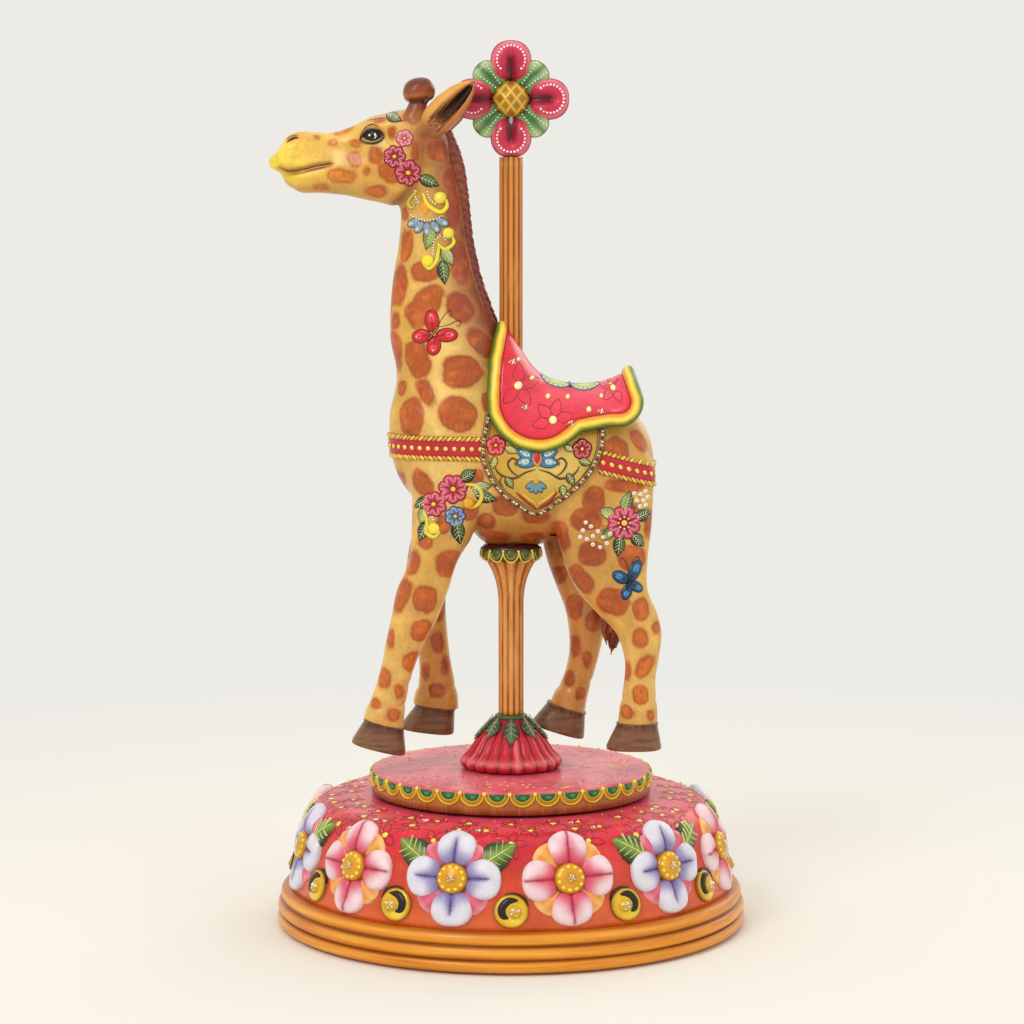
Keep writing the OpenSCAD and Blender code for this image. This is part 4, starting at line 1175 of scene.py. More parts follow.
def build_mane():
    """A strip of short hair along the nape, cut into slanting locks."""
    path = spline([(-37, 405), *NAPE, (-4, 292.5)], 22)
    along = unit_rows(np.gradient(path, axis=0))
    away = np.column_stack([-along[:, 1], along[:, 0]])
    away *= np.sign(away[:, :1].sum())
    run = run_along(path)
    columns = 22
    rings, lock_light = [], []
    for (x, z), (ax, az), s in zip(path, away, run):
        ring = []
        for j in range(columns):
            phi = TAU * j / columns
            lean = 1.9 * abs(math.sin(phi))
            lock = math.sin(TAU * (s + 3.4 * lean) / 4.6 + 0.8 * math.sin(s * 0.7))
            fine = math.sin(TAU * (s + 3.8 * lean) / 1.3 + math.sin(s))
            height = 4.6 * math.cos(phi) + (0.22 * lock + 0.1 * fine) * max(0, math.cos(phi) + 0.4)
            width = (2.9 + 0.16 * lock + 0.08 * fine) * math.sin(phi)
            ring.append((x + ax * height, width, z + az * height))
            lock_light.append(0.5 + 0.28 * lock + 0.26 * fine)
        rings.append(ring)
    points, faces = loft(rings)
    # lock_light is high on the raised locks, which get a painted highlight; the troughs between them keep the
    # dark base as painted shade.
    groove = np.clip(np.array(lock_light), 0, 1)
    tint = painted(points, "5e241a", (groove, "8e3e2c"),
                   (0.5 * groove * ramp(points[:, 2], 330, 392), "a4543a"))
    piece("mane_locks", (points, faces, tint), skin_paint, CAROUSEL, "dark_hair", "mane")


TAIL = [(66, 0, 240, 6), (67.4, 0, 230, 5), (67, 0, 217, 3.4), (64.4, 0, 199, 3), (60, 0, 183, 2.6),
        (56.4, 0, 168, 2.5)]
TAIL_STRANDS = 34


def build_tail():
    """The tail's bar and the tuft of twisted strands at its end."""
    rows = spline(TAIL, 8)
    points, faces = tube(rows[:, :3], rows[:, 3], 16)
    tint = painted(points, "9a4a26", (ramp(points[:, 2], 205, 235), "c9803c"))
    piece("tail_bar", (points, faces, tint), skin_paint, CAROUSEL, "dark_hair", "tail")
    hair = Shape()
    for k in range(TAIL_STRANDS):
        spread = 5.6 * math.sqrt((k + 0.5) / TAIL_STRANDS)
        side, front = (spread * part for part in heading(360 * k * 0.382))
        droop = 138 + random.uniform(-2, 6) + spread
        path = spline([(56 + 0.2 * side, 0.2 * front, 168), (54.6 + side * 0.9, front * 0.8, 160),
                       (53 + side * 1.15, front, 151), (51.6 + side * 0.5, front * 0.5, droop)], 5)
        u = np.linspace(0, 1, len(path))
        hair.add(*tube(path, 1.25 * np.sin(np.pi * (0.12 + 0.85 * u)) + 0.12, 6),
                 ("8e421e", "a8541f", "783418")[k % 3])
    hair.add(*tube(spline([(56.2, 0, 166), (53.4, 0, 152), (52, 0, 141)], 5),
                   np.interp(np.linspace(0, 1, 11), [0, 0.5, 1], [2, 5.2, 2]), 12), "6e3016")
    piece("tail_hair", hair, skin_paint, CAROUSEL, "dark_hair", "tail_tuft")


def hoof_look():
    """Lacquered horn, streaked downwards and ringed."""
    look = Look("hoof_lacquer", 0.34, 0.45)
    streaks = look.noise(1.3, 4, (1, 1, 9))
    rings = look.noise(2.2, 3, (6, 6, 1))
    tone = look.mix(look.step(streaks, 0.35, 0.7), look.tint(), "7d5232")
    tone = look.mix(look.times(look.step(rings, 0.45, 0.65), 0.45), tone, "3f221a")
    look.bump(look.plus(streaks, rings), 0.4)
    return look.colour(tone)


def build_hoof(name, side, shift, material):
    """A hoof that widens from the ankle to the ground, its foot moved by shift, with a cleft in front."""
    (x, z), lean = ANKLES[name]
    profile = [(0, 10.4, 9.2), (-0.7, 10.7, 9.5), (-1.2, 10.3, 9.1), (-4, 11.2, 9.7), (-8, 12.6, 10.4),
               (-12.2, 14, 11.1), (-13.2, 13.9, 11), (-13.5, 13.2, 10.4)]
    count = 56
    angles = circle(count)
    front = bell(angles - math.pi, 0.13)
    square = (np.abs(np.cos(angles)) ** 2.6 + np.abs(np.sin(angles)) ** 2.6) ** (-1 / 2.6)
    rings, tints = [], []
    for drop, long, wide in profile:
        low = -drop / 13.5
        cleft = 1 - 0.13 * front * low
        rings.append(np.column_stack([long * np.cos(angles) * square * cleft + shift * low,
                                      wide * np.sin(angles) * square, np.full(count, float(drop))]))
        # The last layer is painted shade down the cleft in front.
        tint = painted(count, "6a3c2c", (np.full(count, 0.75 * low), "9a7044"), (0.8 * front * low, "2a1610"))
        tints.append(blended(tint, np.full(count, 1.0 if drop > -1.3 else 0), "55301f"))
    points, faces = loft(rings)
    turned = Matrix.Rotation(math.radians(lean), 3, "Y")
    points = points @ np.array(turned).T + [x, 18.8 * side, z]
    piece(f"hoof_{name}_horn", (points, faces, np.vstack(tints)), material, CAROUSEL, "hoof_paint",
          f"hoof_{name}")


build_face_lines()
for side, name in SIDES:
    build_eye(side, name)
    build_ear(side, name)
    build_horn(side, name)
build_mane()
build_tail()
hoof_paint = hoof_look()
for name, side, shift in (("front_left", -1, 0), ("front_right", 1, -3.4), ("hind_left", -1, -2),
                          ("hind_right", 1, -1)):
    build_hoof(name, side, shift, hoof_paint)


# ---------------------------------------------------------------- turned wood: charts and looks

class Turned:
    """A turned surface that flat motifs are laid on, measured along its profile from the bottom."""

    def __init__(self, profile):
        self.rows = np.array(profile, float)
        self.run = run_along(self.rows)
        slope = unit_rows(np.gradient(self.rows, self.run, axis=0))
        self.normal = np.column_stack([slope[:, 1], -slope[:, 0]])

    def find(self, radius, height):
        """The distance along the profile at the point nearest to a radius and height."""
        runs = np.linspace(0, self.run[-1], 400)
        away = on_path(runs, self.run, self.rows) - [radius, height]
        return float(runs[np.argmin(np.linalg.norm(away, axis=1))])

    def chart(self, angle, run, spin=0.0):
        """Lays (across, up the profile, height) round a point at an angle from -Y and a distance along."""
        middle = float(on_path(run, self.run, self.rows)[0])

        def lay(flat):
            flat = turn(np.asarray(flat, float), spin)
            here = on_path(run + flat[:, 1], self.run, self.rows)
            out = on_path(run + flat[:, 1], self.run, self.normal)
            at = math.radians(angle) + flat[:, 0] / middle
            radius = here[:, 0] + out[:, 0] * flat[:, 2]
            height = here[:, 1] + out[:, 1] * flat[:, 2]
            return np.column_stack([radius * np.sin(at), -radius * np.cos(at), height])
        return lay


def closed_lathe(profile, count, ripple=None):
    """A ring turned from a closed profile that runs up the outside and down the inside."""
    points, faces = lathe(profile, count, ripple)
    faces = faces[:-2]
    last = (len(profile) - 1) * count
    for j in range(count):
        k = (j + 1) % count
        faces.append([last + j, last + k, k, j])
    return points, faces


def thick_profile(rows, gap):
    """A profile with extra rows between its corners, at gaps of about gap millimetres."""
    rows = np.array(rows, float)
    out = [rows[0]]
    for a, b in zip(rows[:-1], rows[1:]):
        pieces = max(1, int(np.linalg.norm(b - a) / gap))
        out += [a + (b - a) * k / pieces for k in range(1, pieces + 1)]
    return [tuple(row) for row in out]


def turned_wood(name, dark, middle, light):
    """Stained wood, its grain running round the turned ring."""
    look = Look(name, 0.34, 0.5)
    place = look.turned()
    bands = look.noise(2.4, 5, (26, 1, 1), place)
    fine = look.noise(0.5, 3, (30, 1, 1), place)
    patches = look.noise(26, 2, (2.5, 1, 1), place)
    grain = look.plus(look.times(bands, 0.75), look.times(fine, 0.25))
    tone = look.ramp(grain, (0.3, dark), (0.48, middle), (0.72, light))
    tone = look.mix(look.times(look.step(patches, 0.45, 0.7), 0.45), tone, light)
    tone = look.mix(1.0, tone, look.tint(), "MULTIPLY")
    look.bump(grain, 0.25)
    return look.colour(tone)


def turned_paint(name, light, depth):
    """Paint laid with brush strokes that run up the wall and in towards the axis."""
    look = Look(name, 0.3, 0.55)
    place = look.turned()
    strokes = look.noise(1.6, 5, (1, 7, 7), place)
    cloud = look.noise(14, 3, (1.6, 1, 1), place)
    tone = look.mix(look.times(look.step(strokes, 0.48, 0.75), depth), look.tint(), light)
    tone = look.mix(look.times(look.step(cloud, 0.6, 0.35), 0.35), tone,
                    look.mix(1.0, tone, "b06050", "MULTIPLY"))
    look.bump(look.plus(strokes, look.times(cloud, 0.5)), 0.22)
    return look.colour(tone)


# ---------------------------------------------------------------- carved petals

def petal(length, width, rise, hollow, narrow, count=36, rings=10, fat=3.0):
    """A carved petal along +X from (0, 0), domed and hollowed down its middle.

    Also gives each point's place along (0 to 1) and across (in millimetres)."""
    c, s = np.cos(circle(count)), np.sin(circle(count))
    size = (np.abs(c) ** 2.3 + np.abs(s) ** 2.3) ** (-1 / 2.3)
    outline = np.column_stack([c * size * length / 2, s * size * width / 2])
    rows = [np.column_stack([outline, np.full(count, -1.2)])]
    for k in range(rings + 1):
        t = math.cos(0.5 * math.pi * k / (rings + 0.5))
        rows.append(np.column_stack([outline * t, np.full(count, rise * (1 - t ** fat) ** 0.5)]))
    points, faces = domed(rows, (0, 0, rise))
    points[:, 0] += length / 2
    along = points[:, 0] / length
    across = points[:, 1]
    dip = bell(across, narrow * (1.15 - 0.6 * along)) * (1 - ramp(along, 0.55, 0.85))
    points[:, 2] -= hollow * rise * dip * (points[:, 2] > 0)
    return points, faces, along, across


def flamed(along, across, edge, flame, crease, reach, spread):
    """A petal's paint: pale at its edge, a flame of colour from its base and a dark crease line."""
    fan = bell(across, spread * (1.12 - along)) * (1 - ramp(along, reach * 0.45, reach + 0.2))
    return painted(along, edge, (0.85 * fan, flame), (0.75 * (1 - ramp(along, 0.15, 0.5)), flame),
                   (bell(across, 0.55) * (1 - ramp(along, reach - 0.1, reach)), crease))


def veined_leaf(shape, chart, length, width, base, bright, vein, rise, pairs):
    """A carved leaf along +X with painted veins."""
    leaf = pad(leaf_outline(length, width, 0.06, 16), rise, rings=5)
    shape.lay(chart, leaf, painted(leaf[0], base, (bell(leaf[0][:, 1], width * 0.22), bright)))
    shape.lay(chart, line([(-0.5 * length, 0), (0.48 * length, 0)], 0.55, 0.4, 0.2), vein, 0.92 * rise)
    for k in range(pairs):
        x = length * (-0.3 + 0.62 * k / pairs)
        for s in (-1, 1):
            tip = (x + 0.16 * length, s * width * 0.36 * math.cos(1.5 * x / length))
            path = [(x, 0), ((x + tip[0]) / 2 + 0.3, tip[1] * 0.6), tip]
            shape.lay(chart, line(path, 0.42, 0.55 * rise, 0.15, 3), vein, 0.55 * rise)


# ---------------------------------------------------------------- the stand

MOULDING = thick_profile([(98, 1), *arc(116.8, 4.2, 3.2, -60, 70, 8), *arc(116.4, 10.4, 3.3, -70, 70, 8),
                          *arc(114.8, 16.8, 3.3, -70, 70, 8), (113.4, 20), (98, 20)], 6)
DRUM_SIDE = thick_profile([(113, 20), (106, 47), *arc(89.4, 49, 16, 16, 84, 9), (84, 65.7), (71.5, 66.5),
                           (60, 66.5)], 3)
DISC_SIDE = thick_profile([(69.5, 67.5), (71.5, 68.2), *arc(70, 77.7, 1.5, 0, 90, 5), (66, 79.2),
                           (20, 79.2)], 3)
FOOT_SIDE = thick_profile([(22.1, 79.2), *arc(22.1, 82.8, 3.4, -70, 60, 6), (20.9, 88.6), (18.2, 93),
                           (15, 97), (11.6, 100.6), (8.4, 104), (7.2, 106)], 1.2)
FLOWERS = 12
FLOWER_LEVEL = (106.8, 44)  # a radius and a height on the drum's wall
SCALLOPS = 36
PLEATS = 22
FLUTES = 12
CALYX_LEAVES = 8
SHOULDER_DOTS = 70
DISC_DOTS = 260
DISC_STROKES = 90


def build_moulding():
    """The three-rolled wooden moulding round the foot of the stand."""
    points, faces = closed_lathe(MOULDING, 180)
    z, outside = points[:, 2], ramp(from_axis(points), 112, 116)
    # The first two dark bands are painted shade in the grooves between the rolls.
    tint = painted(points, "ffffff", (0.75 * bell(z - 7.2, 0.9) * outside, "7a3c18"),
                   (0.75 * bell(z - 13.6, 0.9) * outside, "7a3c18"),
                   (0.5 * ramp(z, 18.4, 20) * ramp(from_axis(points), 112, 114), "a04a20"))
    wood = turned_wood("stained_wood", "b45c10", "e08a1c", "f4ac34")
    piece("moulding_turned", (points, faces, tint), wood, BASE, "stained_wood", "plinth_moulding")


def build_drum():
    """The drum, and the petals, dots and stones on its shoulder."""
    ring = DRUM_SIDE + [(10.3, 66.5), (10.3, 65.3), (6.2, 65.3), (6.2, 56.4), (97, 56.4), (97.5, 20)]
    points, faces = closed_lathe(ring, 180)
    radius, z = from_axis(points), points[:, 2]
    turn_part = 360 / FLOWERS
    at_flower = np.abs((np.degrees(round_axis(points)) / turn_part) % 1 - 0.5) * turn_part
    tint = painted(points, "d85e24", (ramp(z, 22, 42), "d84226"), (ramp(z, 46, 58), "da1c32"),
                   (0.55 * ramp(-radius, -97, -86) * ramp(z, 60, 63), "f0607a"),
                   # a painted shadow of the disc, in a ring round it
                   (0.8 * ramp(-radius, -78, -72) * ramp(z, 60, 63), "de5064"),
                   (0.5 * bell(at_flower, 6) * (1 - ramp(z, 50, 62)), "e0704a"))
    paint = turned_paint("drum_paint", "ff7460", 0.22)
    piece("drum_turned", (points, faces, tint), paint, BASE, "drum_paint", "drum")

    side = Turned(DRUM_SIDE)
    strokes = Shape()
    sparks = Shape()
    rows = (((100.6, 60.4), 30, 0.0, 8.4), ((92, 64.8), 30, 0.5, 6.6), ((82, 65.8), 28, 0.0, 5.6))
    for (radius, height), number, shift, long in rows:
        run = side.find(radius, height)
        for i in range(number):
            angle = (i + shift) * 360 / number + 2.2 * math.sin(2.3 * i)
            base_turn = 40 * math.sin(1.7 * i)
            for k in range(5):
                chart = side.chart(angle, run, base_turn + 72 * k)
                loop = [(0.9, 0), (0.5 * long, 0.25 * long), (long, 0), (0.5 * long, -0.25 * long), (0.9, 0)]
                strokes.lay(chart, line(loop, 0.95, 0.08, 0.7, 3), "8c0c22" if (i + k) % 3 else "a4162e")
            dot = side.chart(angle, run)
            strokes.lay(dot, dab(0, 0, 1.6 if i % 2 else 1.3, rise=0.35, count=12), "f3dc4a")
            strokes.lay(dot, dab(0.1, 0.1, 0.5, rise=0.42, count=8), "fdf6c0")
            for k in range(2):
                away = side.chart(angle + random.uniform(-4.2, 4.2), run + random.uniform(-2.5, 3.5))
                strokes.lay(away, dab(0, 0, random.uniform(0.28, 0.42), rise=0.12, count=8),
                            ("f6c08a", "9a1a38", "f7a8b0")[int(random.integers(3))])
            if i % 3 == 1:
                crystals(sparks, side.chart(angle + 180 / number, run - 0.6), 0, 0, 1.3, 5)
    for i in range(SHOULDER_DOTS):
        spot = side.chart(i * 360 / SHOULDER_DOTS + random.uniform(-2, 2),
                          side.find(random.uniform(73.5, 79), 66.5))
        strokes.lay(spot, dab(0, 0, 0.4, rise=0.2, count=8), "f3e29a" if i % 2 else "8a1a38")
    piece("drum_strokes", strokes, fine_paint, BASE, "drum_paint")
    piece("drum_crystals", sparks, crystal, BASE, "drum_paint")


def crystals(shape, chart, x, y, spread, number):
    """A cluster of small cut stones."""
    for k in range(number):
        reach = spread * math.sqrt((k + 0.5) / number)
        size = 0.42 + 0.18 * math.sin(3.1 * k + x)
        stone = pad(oval(size, size, 6), 0.5, x + reach * math.cos(2.4 * k), y + reach * math.sin(2.4 * k),
                    20 * k, 1)
        shape.lay(chart, stone, ("fbf7e8", "e6d28a", "cfd6dc")[k % 3])


def build_flowers():
    """Four-petalled flowers, purple and pink in turn, with folded petals behind and buttons in front."""
    purple, pink = Shape(), Shape()
    back_pink, back_yellow = Shape(), Shape()
    buttons, stones = Shape(), Shape()
    paints = ((pink, "f0d3da", "d92c56", "a81c40", back_yellow, "f0a850", "d46a24", "fbd08a"),
              (purple, "dfdbe8", "7d6fb0", "46377e", back_pink, "e0667c", "b8304e", "f5a8b4"))
    side = Turned(DRUM_SIDE)
    level = side.find(*FLOWER_LEVEL)
    for i in range(FLOWERS):
        front, edge, flame, crease, behind, back_tone, back_deep, back_light = paints[i % 2]
        angle = (i + 0.5) * 360 / FLOWERS
        for k in range(4):
            spin = 90 * k + random.uniform(-3, 3)
            flat, faces, along, across = petal(17.6 + random.uniform(-0.5, 0.5), 20.4, 3.8, 0.42, 1.3)
            flat[:, 2] += 0.35 * np.sin(across * 0.55 + k) * along + 0.9 * along ** 3
            flat[:, 0] += 5.4
            tint = flamed(along, across, edge, flame, crease, *((0.75, 4.6) if i % 2 else (1.0, 6.6)))
            tint = blended(tint, 0.3 * ramp(np.abs(across), 7, 10.6), "c9bccd" if i % 2 else "eeb0bc")
            front.add(side.chart(angle, level, spin)(flat), faces, tint)
            flat, faces, along, across = petal(13.5, 15, 2.2, 0.4, 1.2, fat=2)
            flat[:, 2] += 0.3 * np.cos(across * 1.1) * along
            flat[:, 0] += 7.4
            tint = painted(flat, back_tone, (0.5 * (0.5 + 0.5 * np.cos(across * 1.1 + 3)), back_deep),
                           (0.7 * ramp(along, 0.7, 1), back_light))
            behind.add(side.chart(angle, level, 45 + 90 * k)(flat), faces, tint)
        here = side.chart(angle, level)
        button = pad(oval(7.7, 7.7, 36), 5.8, rings=9)
        reach = from_axis(button[0])
        buttons.lay(here, button, painted(reach, "dc9c22", (ramp(reach, 6.4, 8), "a85a14"),
                                          (1 - ramp(reach, 1, 4), "c8821c")))
        for place in oval(5.6, 5.6, 11):
            buttons.lay(here, dab(*place, 0.95, rise=0.9, count=10), "f6e43c", 3.7)
        crystals(stones, lifted(here, 5.5), 0, 0, 1.8, 8)
    piece("purple_flowers", purple, petal_paint, BASE, "purple_petal", "petals_purple")
    piece("pink_flowers", pink, petal_paint, BASE, "pink_petal", "petals_pink")
    piece("folded_petals_pink", back_pink, petal_paint, BASE, "back_pink", "back_petals_pink")
    piece("folded_petals_yellow", back_yellow, petal_paint, BASE, "back_yellow", "back_petals_yellow")
    piece("flower_buttons_gold", buttons, gold_paint, BASE, "gold_paint", "flower_buttons")
    piece("button_crystals", stones, crystal, BASE, "gold_paint")


def build_wall_trim():
    """Leaves between the flowers and the gold scrolls below them."""
    leaves, scrolls, stones = Shape(), Shape(), Shape()
    side = Turned(DRUM_SIDE)
    level = side.find(*FLOWER_LEVEL)
    comma = [(-3.4, 5.2), (1.2, 4.6), (4, 1.4), (3.6, -2), (1.2, -3.6)]
    shadow_crescent = [(-8.4, 2.5), (-6.5, 6.2), (-2, 8.3), (3, 8)]
    for i in range(FLOWERS):
        mirror = 1 if i % 2 else -1
        angle = i * 360 / FLOWERS
        veined_leaf(leaves, side.chart(angle + 4 * mirror, level + 11, 90 + 60 * mirror), 21, 14, "27401c",
                    "7a9a38", "e6e0a0", 2.2, 4)
        chart = side.chart(angle, side.find(110.5, 29.6))

        def mirrored(flat):
            return chart(flat * [mirror, 1, 1])

        over = mirror < 0
        cushion = pad(oval(8.6, 8.2, 36), 2.6, rings=7)
        x, y = cushion[0][:, :2].T
        scrolls.lay(chart, cushion, painted(x, "e6b422", (ramp(np.hypot(x, y), 6.6, 8.6), "8a5a10"),
                                            (np.exp(-((x - 2) ** 2 + (y + 4) ** 2) / 14), "f7d84a")))
        scrolls.lay(mirrored, line(comma, 4.4, 0.9, 0.12, 6), "1e130b", 1.9, over)
        # a painted shadow: a dark crescent round the cushion's upper edge
        scrolls.lay(mirrored, line(shadow_crescent, 1.3, 1.6, 0.2, 5), "3a2410", 0, over)
        scrolls.lay(mirrored, dab(-1.6, -0.6, 3.3, 3.1, 1.9, count=22), "d8aa2c", 1.9, over)
        crystals(stones, lifted(mirrored, 3.6), -1.6, -0.6, 2.3, 11)
    piece("leaves_carved", leaves, fine_paint, BASE, "leaf_green", "base_leaves")
    piece("scrolls_gold", scrolls, gold_paint, BASE, "gold_paint", "base_scrolls")
    piece("scroll_crystals", stones, crystal, BASE, "gold_paint")


def build_disc():
    """The turning disc, the scallops round its rim and the dots and strokes on its top."""
    ring = DISC_SIDE + [(3.1, 79.2), (3.1, 68.9), (10.9, 68.9), (10.9, 67.5)]
    points, faces = closed_lathe(ring, 180)
    radius = from_axis(points)
    on_top = ramp(points[:, 2], 78, 79)
    tint = painted(points, "b8722c", (ramp(-points[:, 2], -72.5, -68.5), "8a4a1e"), (on_top, "ec6472"),
                   (0.6 * on_top * ramp(-radius, -64, -40), "f2808c"),
                   (0.7 * on_top * ramp(-radius, -34, -24), "c83a50"))
    paint = turned_paint("disc_paint", "f8949a", 0.3)
    piece("disc_turned", (points, faces, tint), paint, CAROUSEL, "disc_paint", "turntable_disc")
    side = Turned(DISC_SIDE)
    scallops, strokes = Shape(), Shape()
    rim = side.find(71.5, 77.8)
    outer, inner = half_oval(5.9, 5.6, 0.4, 11), half_oval(4, 3.6, 0.6, 13)
    centre = np.array(inner).mean(0)
    shell = np.array([(6 * math.cos(a), -2.4 + (2.8 if math.sin(a) > 0 else 3.4) * math.sin(a))
                      for a in circle(20)])
    for i in range(SCALLOPS):
        chart = side.chart((i + 0.45) * 360 / SCALLOPS, rim)
        scallops.lay(chart, pad(shell, 0.5), "b98a2a")
        scallops.lay(chart, pad(inner - centre, 0.7, *centre), "1f5f3a", 0.2)
        scallops.lay(chart, dab(0.4, -1.2, 1.5, 0.9, 0.5), "3f8a50", 0.5)
        scallops.lay(chart, line(inner, 0.4, 0.6, 0.8, 2), "e0d84a", 0.25)
        scallops.lay(chart, line(outer, 0.75, 0.7, 0.8, 2), "f2cc2e", 0.2)
        scallops.lay(chart, dab(6.2, 0.5, 0.9, rise=0.9, count=10), "f8e04a", 0.2)
    for i in range(DISC_DOTS):
        reach = 28 + 40 * math.sqrt(random.uniform(0, 1))
        spot = side.chart(random.uniform(0, 360), side.find(reach, 79.2), random.uniform(-40, 40))
        if i % 5 == 0:
            strokes.lay(spot, dab(0, 0, 0.85, rise=0.14, count=10), "f2dc6a")
        elif i % 5 == 1:
            strokes.lay(spot, dab(0, 0, 0.8, 0.5, 0.08, count=10), "9c3048")
        else:
            strokes.lay(spot, dab(0, 0, 0.58, rise=0.1, count=8), ("f8dc98", "b42440", "f8e0b0")[i % 3])
    for i in range(DISC_STROKES):
        reach = random.uniform(30, 66)
        angle = random.uniform(0, 360)
        spot = side.chart(angle, side.find(reach, 79.2), (45 if i % 2 else -45) + random.uniform(-9, 9))
        strokes.lay(spot, line([(-5, -0.5), (0, 0.3), (5.5, 0)], 0.4, 0.04, 0.1, 3),
                    "d04860" if i % 3 else "f4a0a8")
    piece("disc_scallops", scallops, fine_paint, CAROUSEL, "disc_paint")
    piece("disc_dots", strokes, fine_paint, CAROUSEL, "disc_paint")


# ---------------------------------------------------------------- the pole

def build_foot():
    """A pleated berry with a calyx of leaves round the pole."""
    def pleats(angles, height):
        if not 79.4 < height < 103:
            return 1
        fold = 1 + 0.075 * (np.abs(np.sin(angles * PLEATS / 2)) ** 0.8 - 0.6)
        return fold * (1 + 0.006 * np.sin(5 * angles + 2) + 0.004 * np.sin(9 * angles))

    points, faces = closed_lathe(FOOT_SIDE + [(3.1, 106), (3.1, 79.2)], 240, pleats)
    angle = round_axis(points)
    rib = np.abs(np.sin(angle * PLEATS / 2))
    highlight_patchiness = np.sin(angle * 7 + 1) + 0.6 * np.sin(angle * 11)
    z = points[:, 2]
    # Painted shade in the pleats' valleys, patchy painted highlights along their ridges and in a band near
    # the bottom, and painted shade under the calyx.
    tint = painted(points, "c8182e", (1 - ramp(rib, 0.05, 0.55), "80081c"),
                   (0.75 * ramp(rib, 0.75, 1) * ramp(highlight_patchiness, -0.2, 0.9), "ee7480"),
                   (0.7 * ramp(-z, -83.5, -80), "a8203c"), (0.5 * bell(z - 84.5, 1.4), "f08a90"),
                   (0.5 * ramp(z, 96, 101), "7c1428"))
    piece("strawberry_foot", (points, faces, tint), fine_paint, CAROUSEL, "berry_red", "pole_foot")
    side = Turned(FOOT_SIDE)
    calyx = Shape()
    run = side.find(11.8, 100.5)
    for i in range(CALYX_LEAVES):
        start, long = (0, 12.5) if i % 2 else (1.2, 15.5)
        down = side.chart(i * 360 / CALYX_LEAVES, run - start, -90)
        veined_leaf(calyx, lifted(down, 0.7), long, 7.6, "34402e", "5e6e4c", "9aa684", 1.1, 3)
    points, faces = closed_lathe([(6.5, 104), *arc(7.2, 105.6, 1.3, -60, 110, 6), (6.45, 107.2)], 48)
    calyx.add(points, faces, "4a5636")
    piece("calyx_leaves", calyx, fine_paint, CAROUSEL, "leaf_green", "foot_calyx")


def fluted_pole(name, profile, bore, tones, node):
    """A pole with rounded grooves, each darkened with painted shade, and a painted highlight on each ridge
    between them.
    """
    plain, groove, light = tones

    def flutes(angles, height):
        return 1 - 0.085 * bell((angles * FLUTES / TAU) % 1 - 0.5, 0.16)

    points, faces = closed_lathe(profile + [(bore, profile[-1][1]), (bore, profile[0][1])], 192, flutes)
    across = np.abs((round_axis(points) * FLUTES / TAU) % 1 - 0.5)
    # painted shade down each groove, and a painted highlight on each ridge
    tint = painted(points, plain, (0.9 * bell(across, 0.14), groove), (0.6 * bell(0.5 - across, 0.12), light))
    look = Look(name + "_stain", 0.36, 0.45)
    grain = look.noise(0.7, 4, (1, 1, 26))
    knots = look.noise(9, 3, (1, 1, 3))
    tone = look.mix(look.times(look.step(grain, 0.5, 0.72), 0.5), look.tint(), groove)
    tone = look.mix(look.times(look.step(knots, 0.5, 0.7), 0.35), tone, light)
    look.bump(grain, 0.3)
    piece(name, (points, faces, tint), look.colour(tone), CAROUSEL, "stained_wood", node)


def build_pole():
    """The fluted pole under and over the giraffe, and the scalloped ring under its belly."""
    flare = [(6.4 + 7 * t ** 2.6, 161.5 + 25.5 * t) for t in np.linspace(0, 1, 14)]
    below = thick_profile([(6.4, 105.5), (6.4, 161)], 4) + flare + [(8, 187.2), (8, 194.5)]
    fluted_pole("pole_below", below, 3.05, ("d88a3c", "6e3012", "eaae60"), "lower_pole")
    fluted_pole("pole_above", thick_profile([(5.9, 262), (5.9, 390)], 5), 3.1, ("cb7a28", "6e3010", "e0a04c"),
                "upper_pole")
    side = thick_profile([(12, 186.8), (13.6, 187), (14.8, 188.6), (14.8, 193), (13.3, 194.5),
                          (8.2, 194.5)], 1)
    points, faces = closed_lathe(side + [(8.05, 187)], 96)
    tint = painted(points, "3c4f24", (ramp(points[:, 2], 191.4, 192.4), "4a1018"))
    capital = Shape().add(points, faces, tint)
    carved = Turned(side)
    run = carved.find(14.8, 191.2)
    for i in range(FLUTES):
        chart = carved.chart(i * 360 / FLUTES, run)
        capital.lay(chart, dab(0, -1.4, 3.4, 3, 1), "46602c")
        capital.lay(chart, line(half_oval(3.7, 4.9, 0.2, 11), 0.8, 0.9, 0.8, 2), "e8d060", 0.3)
        capital.lay(chart, line(half_oval(2.2, 2.6, -0.2, 9), 0.6, 0.5, 0.8, 2), "b08a2c", 0.8)
        capital.lay(chart, dab(3.8, 0.6, 0.7, rise=0.9, count=8), "f0e07a")
    piece("capital_scallops", capital, fine_paint, CAROUSEL, "leaf_green", "capital_ring")


# ---------------------------------------------------------------- the finial

FINIAL = np.array((0.0, 0.0, 419.0))


def on_finial(shape, motif, tint, angle=0, lift=0):
    """Lays a flat motif on the finial's front and again on its back."""
    flat, faces = motif
    flat = turn(flat, angle)
    for s in (-1, 1):
        points = FINIAL + np.column_stack([-s * flat[:, 0], s * (flat[:, 2] + lift), flat[:, 1]])
        shape.add(points, faces, tint)


